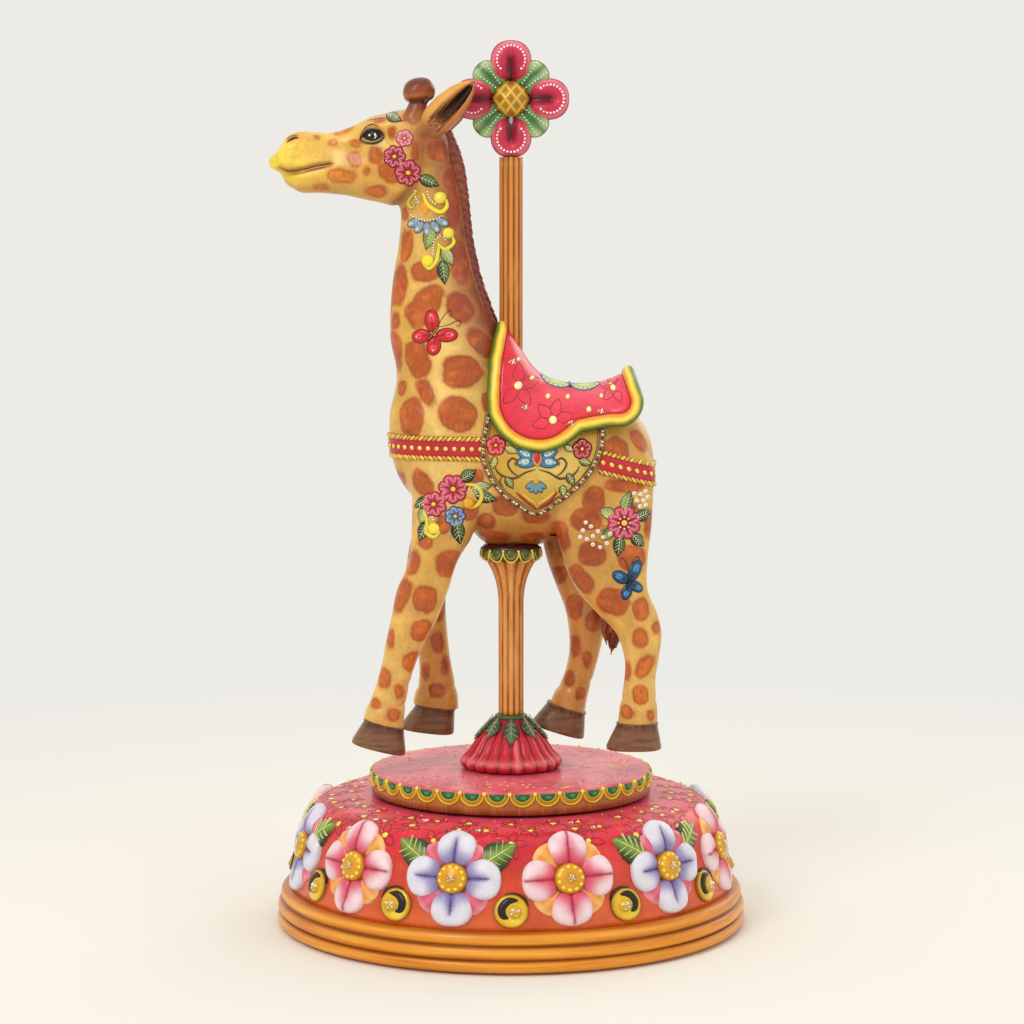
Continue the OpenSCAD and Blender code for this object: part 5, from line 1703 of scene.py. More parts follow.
def build_finial():
    """A four-petalled flower with leaves between its petals and a gold ball in its middle."""
    petals, leaves, ball = Shape(), Shape(), Shape()
    for k in range(4):
        flat, faces, along, across = petal(21.6, 20.6, 5.8, 0.62, 3.1, 44, 12, 2.6)
        rim = ((along - 0.5) * 2) ** 2 + (across / 10) ** 2
        tint = painted(flat, "d02c4c", (0.9 * bell(across, 4.2) * (1 - ramp(along, 0.45, 0.8)), "86142a"),
                       (bell(across, 0.9) * (1 - ramp(along, 0.55, 0.68)), "2a0a12"),
                       (0.6 * ramp(rim, 0.55, 0.8) * ramp(along, 0.2, 0.4), "ee8a9c"),
                       (0.8 * ramp(rim, 0.93, 1.0), "b82a4a"))
        on_finial(petals, (flat + [7.6, 0, 0], faces), tint, 90 * k)
        for a in np.linspace(-132, 132, 19):
            c, s = heading(a)
            x = 19.6 + 6.9 * c
            x = max(x, 12.6 - (12.6 - x) * 0.4)
            bead = dab(x, 7 * s, 0.62, rise=0.9, count=9)
            on_finial(petals, bead, "fbf3f2", 90 * k, 4.15 if x > 15 else 4.5)
        flat, faces, along, across = petal(17.5, 15.2, 3.4, 0.4, 1.8, 36, 9)
        tint = painted(flat, "5f8f50", (0.9 * ramp(along, 0.5, 0.95), "bcd49a"),
                       (0.8 * bell(across, 1.6), "3c6238"))
        on_finial(leaves, (flat + [6.4, 0, 0], faces), tint, 45 + 90 * k)
        for row in (-1, 1):
            for j in range(8):
                bead = dab(9.5 + 1.75 * j, row * (1.5 + 0.28 * j), 0.42, rise=0.7, count=8)
                on_finial(leaves, bead, "f4f6ea", 45 + 90 * k, 3 - 0.05 * j)
    flat, faces = pad(oval(9, 9, 72), 9, rings=22)
    reach = from_axis(flat)
    flat[:, 2] = np.where(flat[:, 2] > 0, np.sqrt(np.maximum(81 - reach ** 2, 0)), flat[:, 2])
    ridge = np.max([bell(np.abs((flat[:, :2] @ heading(a) / 4.4) % 1 - 0.5), 0.13) for a in (38, -38)],
                   axis=0)
    flat *= (1 + 0.035 * ridge)[:, None]
    tint = painted(flat, "a8741c", (ridge, "ecc14a"), (0.6 * ramp(reach, 7, 9), "8a5216"))
    on_finial(ball, (flat, faces), tint)
    piece("finial_petals_carved", petals, petal_paint, CAROUSEL, "finial_crimson", "finial_petals")
    piece("finial_leaves_carved", leaves, fine_paint, CAROUSEL, "leaf_green", "finial_leaves")
    piece("finial_ball_gold", ball, gold_paint, CAROUSEL, "gold_paint", "finial_ball")


def finish_bare_parts():
    """Wood, steel, brass and felt for the plain parts that are shown as they were cut."""
    for name, roughness, metallic, dark, light, size, stretch, nodes in (
            ("bare_wood", 0.6, 0, "a9773f", "d8aa6c", 3, (1, 14, 1), ("base_plate", "glue_dowels")),
            ("steel", 0.3, 1, "8a8d92", "c6c8cc", 0.6, (1, 1, 6),
             ("base_screws", "pole_rod", "rod_washer", "rod_nut", "finial_pin")),
            ("brass", 0.32, 1, "a87a2c", "dcb45c", 0.8, (1, 1, 5), ("pivot_bush",)),
            ("felt", 0.95, 0, "1d3a26", "335c3c", 0.35, (1, 1, 1), ("felt_pad",))):
        look = Look(name, roughness, 0, metallic)
        grain = look.noise(size, 4, stretch)
        look.bump(grain, 0.2)
        look.colour(look.ramp(grain, (0.35, dark), (0.65, light)))
        for node in nodes:
            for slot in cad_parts[node].material_slots:
                slot.link = "OBJECT"
                slot.material = look.material


fine_paint = brushed("fine_paint", roughness=0.3, depth=0.13, grit=0.15)
petal_paint = brushed("petal_paint", roughness=0.34, depth=0.14, grit=0.45, warmth=0.02)
gold_paint = brushed("gold_lacquer", roughness=0.28, coat=0.6, depth=0.14, grit=0.35, metallic=0.15)
crystal = brushed("crystal", roughness=0.12, coat=1.0, depth=0.05, grit=0.0, metallic=0.6)

finish_bare_parts()
build_moulding()
build_drum()
build_flowers()
build_wall_trim()
build_disc()
build_foot()
build_pole()
build_finial()


# ---------------------------------------------------------------- painted motifs

def outlined(shape, chart, points, width, tone, edge, taper=0.35):
    """A brush stroke with a darker edge."""
    shape.lay(chart, line(points, width + 0.8, 0.225, taper), edge)
    shape.lay(chart, line(points, width, 0.45, taper), tone, 0.15)


def painted_leaf(shape, chart, stem, tip, width, dark, light, pairs=4):
    """A leaf from its stem to its tip, lighter on one side, with pale veins."""
    stem, tip = np.array(stem, float), np.array(tip, float)
    length = float(np.linalg.norm(tip - stem))
    angle = math.degrees(math.atan2(*(tip - stem)[::-1]))
    middle = stem + (tip - stem) * 0.45

    def on_leaf(flat):
        return chart(turn(flat, angle, *middle))

    shape.lay(on_leaf, pad(leaf_outline(length + 0.8, width + 0.8), 0.25), "26301c")
    leaf = pad(leaf_outline(length, width, 0.05), 0.5)
    shape.lay(on_leaf, leaf, painted(leaf[0], dark, (0.85 * ramp(leaf[0][:, 1], -0.5, 0.32 * width), light)))
    veins = [((-0.48 * length, 0), (0.46 * length, 0), 0.34)]
    for k in range(pairs):
        x = length * (-0.32 + 0.62 * k / pairs)
        rise = width * 0.33 * math.cos(1.6 * x / length)
        veins += [((x, 0), (x + 0.16 * length, s * rise), 0.24) for s in (-1, 1)]
    for start, end, thick in veins:
        shape.lay(on_leaf, line([start, end], thick, 0.2, 0.3, 3), "e9e6b4", 0.42)


def paler(code, amount):
    """The same colour mixed with white."""
    return [amount * 0.9 + (1 - amount) * value for value in linear(code)]


def painted_flower(shape, chart, x, z, radius, number, tone, deep, spin):
    """A flower whose petals are outlined, streaked, creased and tipped with a dot."""
    long, wide = 0.44 * radius, 0.966 * radius * math.sin(math.pi / number)
    for k in range(number):
        angle = spin + 360 * k / number

        def on_petal(along, across=0.0):
            """A place in the petal's own directions, from the flower's middle."""
            c, s = heading(angle)
            return x + along * c - across * s, z + along * s + across * c

        middle = on_petal(0.6 * radius)
        shape.lay(chart, pad(oval(long + 0.45, wide + 0.45), 0.3, *middle, angle), deep)
        shape.lay(chart, pad(oval(long, wide), 0.55, *middle, angle), tone, 0.12)
        for half in (-0.42, 0.42):
            streak = dab(*on_petal(0.6 * radius + 0.16 * long, half * wide), 0.6 * long, 0.2 * wide, 0.22,
                         angle, 8)
            shape.lay(chart, streak, paler(tone, 0.2), 0.5)
        crease = [on_petal(0.2 * radius), on_petal(0.7 * radius)]
        shape.lay(chart, line(crease, 0.13 * radius, 0.1, 0.2), deep, 0.6)
        shape.lay(chart, dab(*on_petal(0.86 * radius), 0.3, rise=0.35, count=8), "fbf1ee", 0.45)
    shape.lay(chart, dab(x, z, 0.24 * radius, rise=0.7), "7c1c14", 0.3)
    shape.lay(chart, dab(x, z, 0.18 * radius, rise=0.75), "f2c93a", 0.5)


def dotted(shape, chart, points, size=0.42, tone="f8f2ea", gap=1.45):
    """A row of small dots along flat points."""
    path = spline(points, 6) if len(points) > 2 else np.array(points, float)
    run = run_along(path)
    for spot in on_path(np.arange(0, run[-1] + 0.01, gap), run, path):
        shape.lay(chart, dab(*spot, size, rise=0.5, count=8), tone)


def wing(shape, chart, x, z, long, wide, angle, tone, edge, light):
    """A butterfly's wing, its root at the lower end of its length."""
    shape.lay(chart, pad(oval(long + 0.4, wide + 0.4), 0.35, x, z, angle), edge)
    shape.lay(chart, pad(oval(long, wide), 0.55, x, z, angle), tone, 0.15)
    root, heart, tip = [np.array((x, z)) + k * long * np.array(heading(angle)) for k in (-0.8, 0.25, 0.7)]
    shape.lay(chart, dab(*heart, long * 0.42, wide * 0.5, 0.2, angle), light, 0.6)
    shape.lay(chart, line([root, tip], 0.35, 0.15, 0.2), edge, 0.75)


def face_motifs(shape, chart):
    """Three flowers on the cheek and a leaf over the eye."""
    painted_flower(shape, chart, -53, 399, 3.9, 6, "e0738c", "a92a4e", 10)
    painted_flower(shape, chart, -58, 390, 5.2, 7, "b8244c", "7c1230", 0)
    painted_flower(shape, chart, -51.5, 382, 6.2, 7, "bf2048", "7c1230", 20)
    painted_leaf(shape, chart, (-62.5, 411.5), (-54.5, 407.5), 5, "50604a", "7c8c6c")


def neck_motifs(shape, chart):
    """Gold scrolls, blue-grey petals and leaves below the cheek."""
    painted_leaf(shape, chart, (-46, 380), (-36, 375.5), 5.6, "263c1e", "5a7a3c")
    outlined(shape, chart, [(-46, 373.5), (-49, 371), (-51.5, 367.5), (-50, 364.5), (-47.8, 366.2)], 1.7,
             "c7b83c", "54601c")
    outlined(shape, chart, [(-44, 372), (-42.5, 367.5), (-40.5, 365), (-35.5, 362.5), (-32.2, 365),
                            (-32.5, 369)], 2.3, "f0d838", "7c6a1c", 0.5)
    shape.lay(chart, dab(-35.6, 369.6, 3, rise=1.1), "f2dc3c", 0.2)
    shape.lay(chart, dab(-36, 370, 1.2, rise=0.9), "fbf08a", 0.6)
    shape.lay(chart, pad(leaf_outline(7, 4.4), 0.7, -43.2, 364.6, -75), "ee9a2c")
    for px, pz, angle in ((-48.7, 357.2, 205), (-46, 355, 235), (-42, 354, 270), (-38, 355, 305),
                          (-34.5, 357.5, 335)):
        shape.lay(chart, dab(px, pz, 3.7, 2.3, 0.35, angle), "38465c")
        shape.lay(chart, dab(px, pz, 3.3, 1.9, 0.6, angle), "8a9ab0", 0.15)
        c, s = heading(angle)
        shape.lay(chart, dab(px + 1.3 * c, pz + 1.3 * s, 1.2, 0.8, 0.15, angle), "c2ccd8", 0.65)
    dotted(shape, lifted(chart, 0.3), [(-49.8, 361), (-46.5, 359.2), (-42, 358.4), (-37.5, 359.2),
                                       (-33.6, 361)])
    dotted(shape, chart, [(-41.8, 372.5), (-40.3, 368.5), (-37, 366.2)])
    dotted(shape, chart, [(-48, 373), (-47.8, 370), (-46.5, 367.5)])
    painted_leaf(shape, chart, (-39.5, 355), (-42.5, 343.8), 6, "6c8a3a", "a8bc60")
    outlined(shape, chart, [(-29.6, 350.5), (-28.8, 347), (-33, 344), (-37, 347)], 1.9, "eedc3c", "6c701c",
             0.5)
    outlined(shape, chart, [(-36, 346.5), (-36.6, 342), (-37.5, 338), (-40.8, 334.4), (-43.8, 336.4)], 2,
             "f0dc38", "6c701c", 0.5)
    shape.lay(chart, dab(-31.5, 352, 2.7, rise=1), "f0e04a", 0.2)
    shape.lay(chart, dab(-41.8, 338.2, 3, rise=1.1), "f4de38", 0.2)
    dotted(shape, chart, [(-35.5, 350.5), (-38.5, 348), (-39, 343.5), (-39.6, 340.5)])
    dotted(shape, chart, [(-33.8, 350), (-32.2, 347.6)])
    painted_leaf(shape, chart, (-34.5, 344.5), (-29, 336), 5.6, "8c9c5c", "c2c890")
    painted_leaf(shape, chart, (-34.5, 338.5), (-33.2, 326.5), 5.8, "26401e", "648a44")


def red_butterfly(shape, chart):
    """A red butterfly on the neck."""
    for x, z, long, wide, angle in ((-39.6, 309, 5.4, 2.9, 95), (-45.6, 300.6, 4.6, 2.8, 190),
                                    (-31.4, 301.2, 5.4, 2.8, 2), (-38.6, 295.2, 4.6, 2.9, 262)):
        x, z = x + 0.1 * (-38.6 - x), z + 0.1 * (301.4 - z)
        wing(shape, chart, x, z, long, wide + 0.5, angle, "c81828", "5c0c14", "ee4a54")
        c, s = heading(angle)
        shape.lay(chart, dab(x + 0.5 * long * c, z + 0.5 * long * s, 0.5, rise=0.5), "f6c8a0", 0.5)
    shape.lay(chart, line([(-41, 298.8), (-39, 302), (-36.4, 305.6)], 1.3, 1, 0.3), "5a3a14", 0.3)
    dotted(shape, lifted(chart, 0.9), [(-40.5, 299.6), (-36.8, 305)], 0.35, "d8b04a", 1.2)
    for feeler in ([(-36.5, 305.2), (-34.5, 309.5), (-31, 313.4), (-29.4, 311.6), (-31, 310.6)],
                   [(-36.5, 305.2), (-31.5, 306.2), (-26, 308.6), (-25.6, 306), (-27.4, 305.8)]):
        shape.lay(chart, line(feeler, 0.4, 0.3, 0.6), "4a2412")


def shoulder_motifs(shape, chart):
    """Three flowers with leaves and gold scrolls on the shoulder."""
    for stem, tip, width, dark, light in (
            ((-25, 229), (-17.5, 234), 6, "26361c", "5c7a44"),
            ((-20, 224.6), (-9.5, 226.5), 5.6, "7c8c5c", "b0ba86"),
            ((-18, 221.6), (-7, 219), 5.6, "26361c", "587644"),
            ((-41, 220), (-48.5, 214.8), 5, "26361c", "587644"),
            ((-43, 215), (-45.4, 207), 5, "8a9a50", "bcc878"),
            ((-42, 208), (-46, 198.5), 5.4, "26361c", "587644"),
            ((-27.5, 209), (-25.5, 197), 6.4, "1f3018", "4c6a3c")):
        painted_leaf(shape, chart, stem, tip, width, dark, light)
    outlined(shape, chart, [(-23.5, 227), (-17.5, 226.2), (-14.6, 221.6), (-16.6, 216.6), (-21, 214.6)],
             2.2, "ecd23c", "6c6420", 0.4)
    shape.lay(chart, dab(-21.4, 217.4, 2.8, rise=1.1), "e8a42c", 0.2)
    dotted(shape, chart, [(-21, 224.6), (-17.6, 223), (-17, 220)])
    outlined(shape, chart, [(-43, 213), (-42, 207), (-42.4, 203), (-38.5, 200.6), (-35.4, 203.6)], 2.2,
             "ecd23c", "6c6420", 0.4)
    shape.lay(chart, dab(-38.6, 204.8, 2.9, rise=1.1), "f2dc4a", 0.2)
    dotted(shape, chart, [(-40, 212), (-38.6, 209)])
    painted_flower(shape, chart, -29, 224.6, 7, 7, "cc3358", "7c1430", 12)
    painted_flower(shape, chart, -38.5, 217, 6, 7, "c83052", "7c1430", 30)
    painted_flower(shape, chart, -28, 211, 4.8, 7, "5f7ab0", "27345c", 0)


def thigh_motifs(shape, chart):
    """A flower with leaves and two sprays of white buds on the thigh."""
    for stem, tip, width, dark, light in (
            ((52, 211), (44.5, 214.8), 5.6, "8c9c5c", "c4cc90"),
            ((56.5, 213), (59.5, 223.5), 6, "4c6a34", "98ac60"),
            ((62, 209.5), (70.5, 213), 5.6, "22361a", "50723c"),
            ((60.5, 202), (66.5, 195.5), 5.8, "22361a", "50723c"),
            ((54.5, 201.5), (53.4, 191), 5.8, "22361a", "50723c"),
            ((51, 204.5), (45.5, 199.5), 5, "4c6a34", "8aa458")):
        painted_leaf(shape, chart, stem, tip, width, dark, light)
    painted_flower(shape, chart, 56.5, 207.7, 8.2, 8, "c52a54", "7a1230", 22)
    for place in oval(2.9, 2.9, 8) + [56.5, 207.7]:
        shape.lay(chart, dab(*place, 0.42, rise=0.5, count=8), "fbf3ee", 0.7)
    low = ((36, 204), (40, 206), (43.5, 203.6), (38, 199.6), (41, 201.2), (46, 200.6), (49.5, 202.4),
           (48, 197.6), (41, 197), (44.6, 195.6), (34.6, 200.6), (37.4, 208))
    high = ((63, 218.7), (65, 221.7), (67.4, 223.2), (66.4, 218.6), (68.5, 220.2), (64.5, 215.7),
            (67.4, 216.2), (61.6, 222.4))
    for buds, (root_x, root_z) in ((low, (50, 205)), (high, (60.5, 213))):
        for x, z in buds:
            stalk = [(root_x, root_z), (0.5 * (x + root_x), 0.5 * (z + root_z) + 0.8), (x, z)]
            shape.lay(chart, line(stalk, 0.24, 0.12, 0.4, 3), "8a5a30")
        for x, z in buds:
            shape.lay(chart, dab(x, z, 1.05, rise=0.7, count=12), "f8f0ee", 0.1)
            shape.lay(chart, dab(x, z, 0.45, rise=0.3, count=8), "d8a4a8", 0.6)


def blue_butterfly(shape, chart):
    """A blue butterfly on the hind leg."""
    for x, z, long, wide, angle in ((55, 180.4, 4.4, 2.8, 150), (62, 183.4, 5.6, 2.8, 66),
                                    (62.8, 175.4, 3.6, 2.2, -38), (58, 173, 3.9, 2.4, 250)):
        wing(shape, chart, x, z, long, wide, angle, "1f4470", "14182c", "4a8cc8")
    shape.lay(chart, line([(57.6, 174.4), (59.2, 177.8), (60, 181.4)], 1.4, 0.9, 0.3), "16161f", 0.4)
    for feeler in ([(59.6, 182), (57.4, 188), (55.6, 190.4), (54.4, 188.6)],
                   [(60, 182), (61, 188.5), (63.6, 190.6), (64.6, 188.8)]):
        shape.lay(chart, line(feeler, 0.35, 0.3, 0.5), "2a2420")


def build_skin_motifs():
    """The motifs painted on the skin, once for each side; some lie further forward on the right."""
    for group, draw, back_shift in (("cheek_flowers", face_motifs, 0), ("neck_scrolls", neck_motifs, 0),
                                    ("red_butterfly", red_butterfly, 0),
                                    ("shoulder_flowers", shoulder_motifs, 0),
                                    ("thigh_flower", thigh_motifs, -5),
                                    ("blue_butterfly", blue_butterfly, -12)):
        for side, name in SIDES:
            shape = Shape()
            shift = [back_shift if side > 0 else 0, 0, 0]
            draw(shape, lambda flat: SEE[side](flat + shift))
            piece(f"{group}_{name}", shape, fine_paint, CAROUSEL, "giraffe_skin")


# ---------------------------------------------------------------- the saddle

SADDLE_TOP = [(-14, 299), (-9, 304), (-5, 306.5), (0, 302.5), (6, 291.5), (12, 283.5), (20, 278), (34, 275),
              (46, 276.5), (54, 280), (61, 284), (68, 285)]
SADDLE_EDGE = np.array([(-4, 325), (-9, 300), (-11, 289), (-12, 276), *arc(14, 269.5, 26.3, 188, 298, 16),
                        (31, 249.6), (35.5, 253.2), (42, 254.6), (50, 255.8),
                        *arc(53.6, 268.5, 12.9, 282, 366, 12), (62, 284), (60.5, 296), (60, 325)])
RIND = 6.4


def build_saddle():
    """The red seat and its melon rind, carved to fit the back."""
    grid = Volume((-16, -36, 238), (71, 36, 314), 0.85)
    points = grid.part(grid.low, [axis[-1] for axis in grid.axes])[1]
    x, y, z = np.moveaxis(points, -1, 0)
    tops = spline(SADDLE_TOP, 5)
    top = np.interp(x[:, :1, :1], tops[:, 0], tops[:, 1]) - 240
    k0 = np.sqrt((y / 30.5) ** 2 + ((z - 240) / top) ** 2)
    k1 = np.sqrt((y / 30.5 ** 2) ** 2 + ((z - 240) / top ** 2) ** 2)
    arch = k0 * (k0 - 1) / np.maximum(k1, 1e-3)
    edge = np.broadcast_to(outline_distance(points[:, 0][:, :, [0, 2]], SADDLE_EDGE)[:, None, :], arch.shape)
    body = np.minimum(form.sample(points.reshape(-1, 3)).reshape(arch.shape), 30)

    def both(a, b, blend):
        """What lies in both of two volumes."""
        return -soft_min(-a, -b, blend)

    def solid(distance):
        """Points and quads of a volume with the giraffe's body, and all that is low, taken away."""
        grid.value = both(distance, -body, 0.3).astype(np.float32)
        grid.value[z < 240.5] = 5
        grid.soften(0.55)
        return grid.skin()

    seat_points, seat_quads = solid(both(arch - 0.9 * bell(edge + 18, 12), edge + RIND - 0.6, 1.4))
    rind_points, rind_quads = solid(both(both(arch - 2.4, edge, 4.4), -(edge + RIND), 2.2))
    tree = BVHTree.FromPolygons(np.vstack([seat_points, rind_points]).tolist(),
                                seat_quads.tolist() + (rind_quads + len(seat_points)).tolist())
    inner = -outline_distance(seat_points[:, [0, 2]], SADDLE_EDGE)
    # Painted highlights on the seat's two swells, and painted shade round its edge, next to the rind.
    tint = painted(seat_points, "e02640", (0.7 * near_to(seat_points, (16, 0, 266), (16, 60, 14)), "f04e66"),
                   (0.6 * near_to(seat_points, (48, 0, 272), (14, 60, 10)), "f2607a"),
                   (0.8 * (1 - ramp(inner, RIND - 0.5, RIND + 2.5)), "b8142e"))
    piece("seat_carved", (seat_points, seat_quads.tolist(), tint), seat_paint, CAROUSEL, "saddle_flesh",
          "saddle_seat")
    depth = -outline_distance(rind_points[:, [0, 2]], SADDLE_EDGE)
    wave = 0.5 * np.sin(rind_points[:, 0] * 0.5) + 0.4 * np.sin(rind_points[:, 2] * 0.7)
    depth = depth + 0.35 * wave
    tint = painted(rind_points, "eac02c", (ramp(depth, 4, 5.6), "e8922a"),
                   # the first of these layers is a painted highlight along the yellow band
                   (0.8 * bell(depth - 3.7, 0.9), "f8e064"), (1 - ramp(depth, 1.5, 2.8), "6c862c"),
                   (0.85 * (1 - ramp(depth, 0.3, 1.5)), "3a5a22"))
    piece("rind_carved", (rind_points, rind_quads.tolist(), tint), fine_paint, CAROUSEL, "saddle_rind",
          "saddle_rim")

    def from_above(flat):
        """Lays (x, y, height) on the saddle as seen from above."""
        out = np.empty((len(flat), 3))
        for i, (px, py, h) in enumerate(flat):
            hit, normal, _, _ = tree.ray_cast(Vector((px, py, 330)), Vector((0, 0, -1)))
            out[i] = hit + normal * h
        return out

    strokes, stones = Shape(), Shape()
    for side, _ in SIDES:
        see = sight_chart(tree, side)
        for x0, z0, reach, number in ((3.5, 276.2, 11, 5), (20.9, 259.2, 10.5, 6), (51.3, 274.6, 7.5, 5)):
            flat_loop = np.array([(1.5, 0), (0.5 * reach, 0.27 * reach), (reach, 0),
                                  (0.5 * reach, -0.27 * reach), (1.5, 0)])
            for k in range(number):
                loop = turn(flat_loop, 360 * k / number + 14, x0, z0)
                if (outline_distance(loop, SADDLE_EDGE) < 0.5 - RIND).all():
                    strokes.lay(see, line(loop, 0.5, 0.1, 0.6, 4), "98102c")
        for x0, z0, r in ((3.5, 276.2, 1.9), (20.9, 259.2, 1.9), (10.4, 279.6, 1), (18.4, 270.6, 1.1),
                          (28.4, 270.2, 1), (38.9, 264.2, 1.2), (51.3, 274.6, 1.3), (45.3, 270.7, 0.9),
                          (3.6, 289, 0.9), (49, 279.4, 0.9)):
            strokes.lay(see, dab(x0, z0, r + 0.35, rise=0.3), "d87a4a")
            strokes.lay(see, dab(x0, z0, r, rise=0.7), "f8edb4", 0.15)
        for x0, z0 in ((0.5, 288), (7, 265.7), (29.5, 257.4), (45, 263.6)):
            crystals(stones, lifted(see, 0.1), x0, z0, 1.5, 6)
    for x0, lean in ((22.4, 8), (37.4, -8)):
        for m in (1, -1):
            strokes.lay(from_above, pad(oval(8, 6.6, 24), 0.3, x0, 5.6 * m, lean * m), "3a62b0")
            strokes.lay(from_above, pad(oval(7.1, 5.7, 24), 0.5, x0, 5.6 * m, lean * m), "a9bc6c", 0.12)
            for k in range(7):
                c, s = heading(20 + 23.3 * k)
                spoke = [(x0, 4 * m), (x0 + 5.6 * c, (5.6 + 4.4 * s) * m)]
                strokes.lay(from_above, line(spoke, 0.8, 0.15, 0.3), "e6e8b8", 0.5)
                tip = dab(x0 + 6.4 * c, (5.6 + 5 * s) * m, 0.6, rise=0.4, count=8)
                strokes.lay(from_above, tip, "f6f0c8", 0.35)
    strokes.lay(from_above, line([(29.9, -9), (29.6, 0), (29.9, 9)], 1.4, 0.7, 0.4), "2c4c9c", 0.4)
    piece("saddle_strokes", strokes, fine_paint, CAROUSEL, "saddle_flesh")
    piece("saddle_crystals", stones, crystal, CAROUSEL, "saddle_flesh")


# ---------------------------------------------------------------- the blanket and the bands

BLANKET_EDGE = [(-13, 263), (-15, 246), (-13.3, 234), (-5.5, 222.4), (2.5, 216.4), (11.5, 211.4),
                (20.5, 215.6), (28.6, 220.6), (39.6, 231.6), (46, 244.6), (46.6, 263)]


def even_loop(outline, gap):
    """A closed outline with points at even gaps."""
    closed = np.vstack([outline, outline[:1]])
    run = run_along(closed)
    return on_path(np.linspace(0, run[-1], int(run[-1] / gap), endpoint=False), run, closed)


def blanket_motifs(shape, stones, see):
    """A jewelled border, two flowers, leaves, and a butterfly over scrolls that mirror each other."""
    border = spline(BLANKET_EDGE, 5)
    centre = np.array((16, 244))
    inset = centre + (border - centre) * 0.955
    shape.lay(see, line(inset, 2.9, 0.9, 0.9, smooth=False), "8a6038")
    run = run_along(inset)
    for k, spot in enumerate(on_path(np.arange(1, run[-1], 1.7), run, inset)):
        if k % 3:
            crystals(stones, lifted(see, 0.75), *spot, 0.7, 2)
        else:
            shape.lay(see, dab(*spot, 0.75, rise=0.5, count=8), "4a2c18", 0.6)
    inner = centre + (border - centre) * 0.89
    shape.lay(see, line(inner, 0.5, 0.25, 0.9, smooth=False), "6c4a20")
    painted_flower(shape, see, -7.6, 246.3, 4.6, 5, "d8283c", "7c1018", 90)
    painted_flower(shape, see, 35.4, 244.3, 4.6, 5, "b01828", "5c0c14", 90)
    for stem, tip, width, dark, light in (
            ((-3, 245.4), (3.4, 242.6), 3.6, "c0a040", "e4d07a"),
            ((-7.6, 241), (-9.8, 234.6), 3.4, "8a8438", "c4b85c"),
            ((-2.4, 231), (1, 225.4), 3.6, "4c5c28", "8a9444"),
            ((34, 239), (40.4, 237), 3.6, "5c6c2c", "9ca44c"),
            ((28, 232.6), (31.8, 226.6), 3.8, "4c5c28", "8a9444"),
            ((26, 227), (26.6, 220.8), 3.2, "6c7430", "a8a850"),
            ((26.6, 246), (31, 243.4), 3, "b0a04a", "d8cc80")):
        painted_leaf(shape, see, stem, tip, width, dark, light, pairs=3)
    middle = 13
    scrolls = (
        ([(12.2, 234.6), (7, 233), (2, 230.4), (-3, 231), (-6.6, 233.4), (-8, 236.2)], 1.1, 0.45, 0.2),
        ([(4, 231), (0.4, 233.6), (-1.6, 237.4), (0.6, 240), (3.2, 238.6), (2.2, 236.4)], 1, 0.45, 0.3),
        ([(-4.6, 231.6), (-5.4, 228.4), (-4, 226.4)], 0.7, 0.4, 0.3))
    for m in (1, -1):
        def across(points):
            """Points as drawn for the front half, or their mirror images for the rear half."""
            return [(middle + m * (px - middle), pz) for px, pz in points]

        for points, width, rise, taper in scrolls:
            shape.lay(see, line(across(points), width, rise, taper), "5a3312")
        shape.lay(see, dab(*across([(2.4, 237.6)])[0], 0.8, rise=0.5), "8a4a1c", 0.3)
        for angle, long in ((155, 6.2), (190, 5.4)):
            angle = angle if m > 0 else 180 - angle
            c, s = heading(angle)
            place = (middle + m * 0.8 + 5.6 * c, 239.4 + 5.4 * s)
            wing(shape, see, *place, long, 2.9, angle, "4a7ca8", "1c3a5c", "b8d4dc")
            for reach in (4.6, 6.7, 8.8):
                dot = dab(middle + reach * c, 239.4 + reach * s, 0.5, rise=0.3, count=8)
                shape.lay(see, dot, "eef2d8", 0.8)
        shape.lay(see, line(across([(12.6, 215.4), (8, 218.6), (2.6, 223.4)]), 1.5, 0.5, 0.3), "a3201c")
        shape.lay(see, line(across([(12.6, 217.6), (8.6, 220.4), (4, 224.6)]), 0.9, 0.4, 0.3), "e8c23c", 0.15)
    shape.lay(see, pad(leaf_outline(9, 4.6), 1, middle, 240, 90), "e8a030", 0.4)
    shape.lay(see, pad(leaf_outline(7.2, 3.2), 1, middle, 240.4, 90), "cc2438", 0.7)
    for angle in range(210, 331, 30):
        c, s = heading(angle)
        shape.lay(see, dab(12.4 + 3 * c, 228.6 + 3.2 * s, 3, 1.5, 0.35, angle), "2c4458")
        shape.lay(see, dab(12.4 + 3 * c, 228.6 + 3.2 * s, 2.6, 1.1, 0.5, angle), "6c94a8", 0.15)
    dotted(shape, lifted(see, 0.2), [(8.6, 229.6), (12.4, 230.2), (16.2, 229.6)], 0.4, "f2e8c0")
    shape.lay(see, dab(12.4, 229, 1.5, rise=0.7), "d8a030", 0.3)


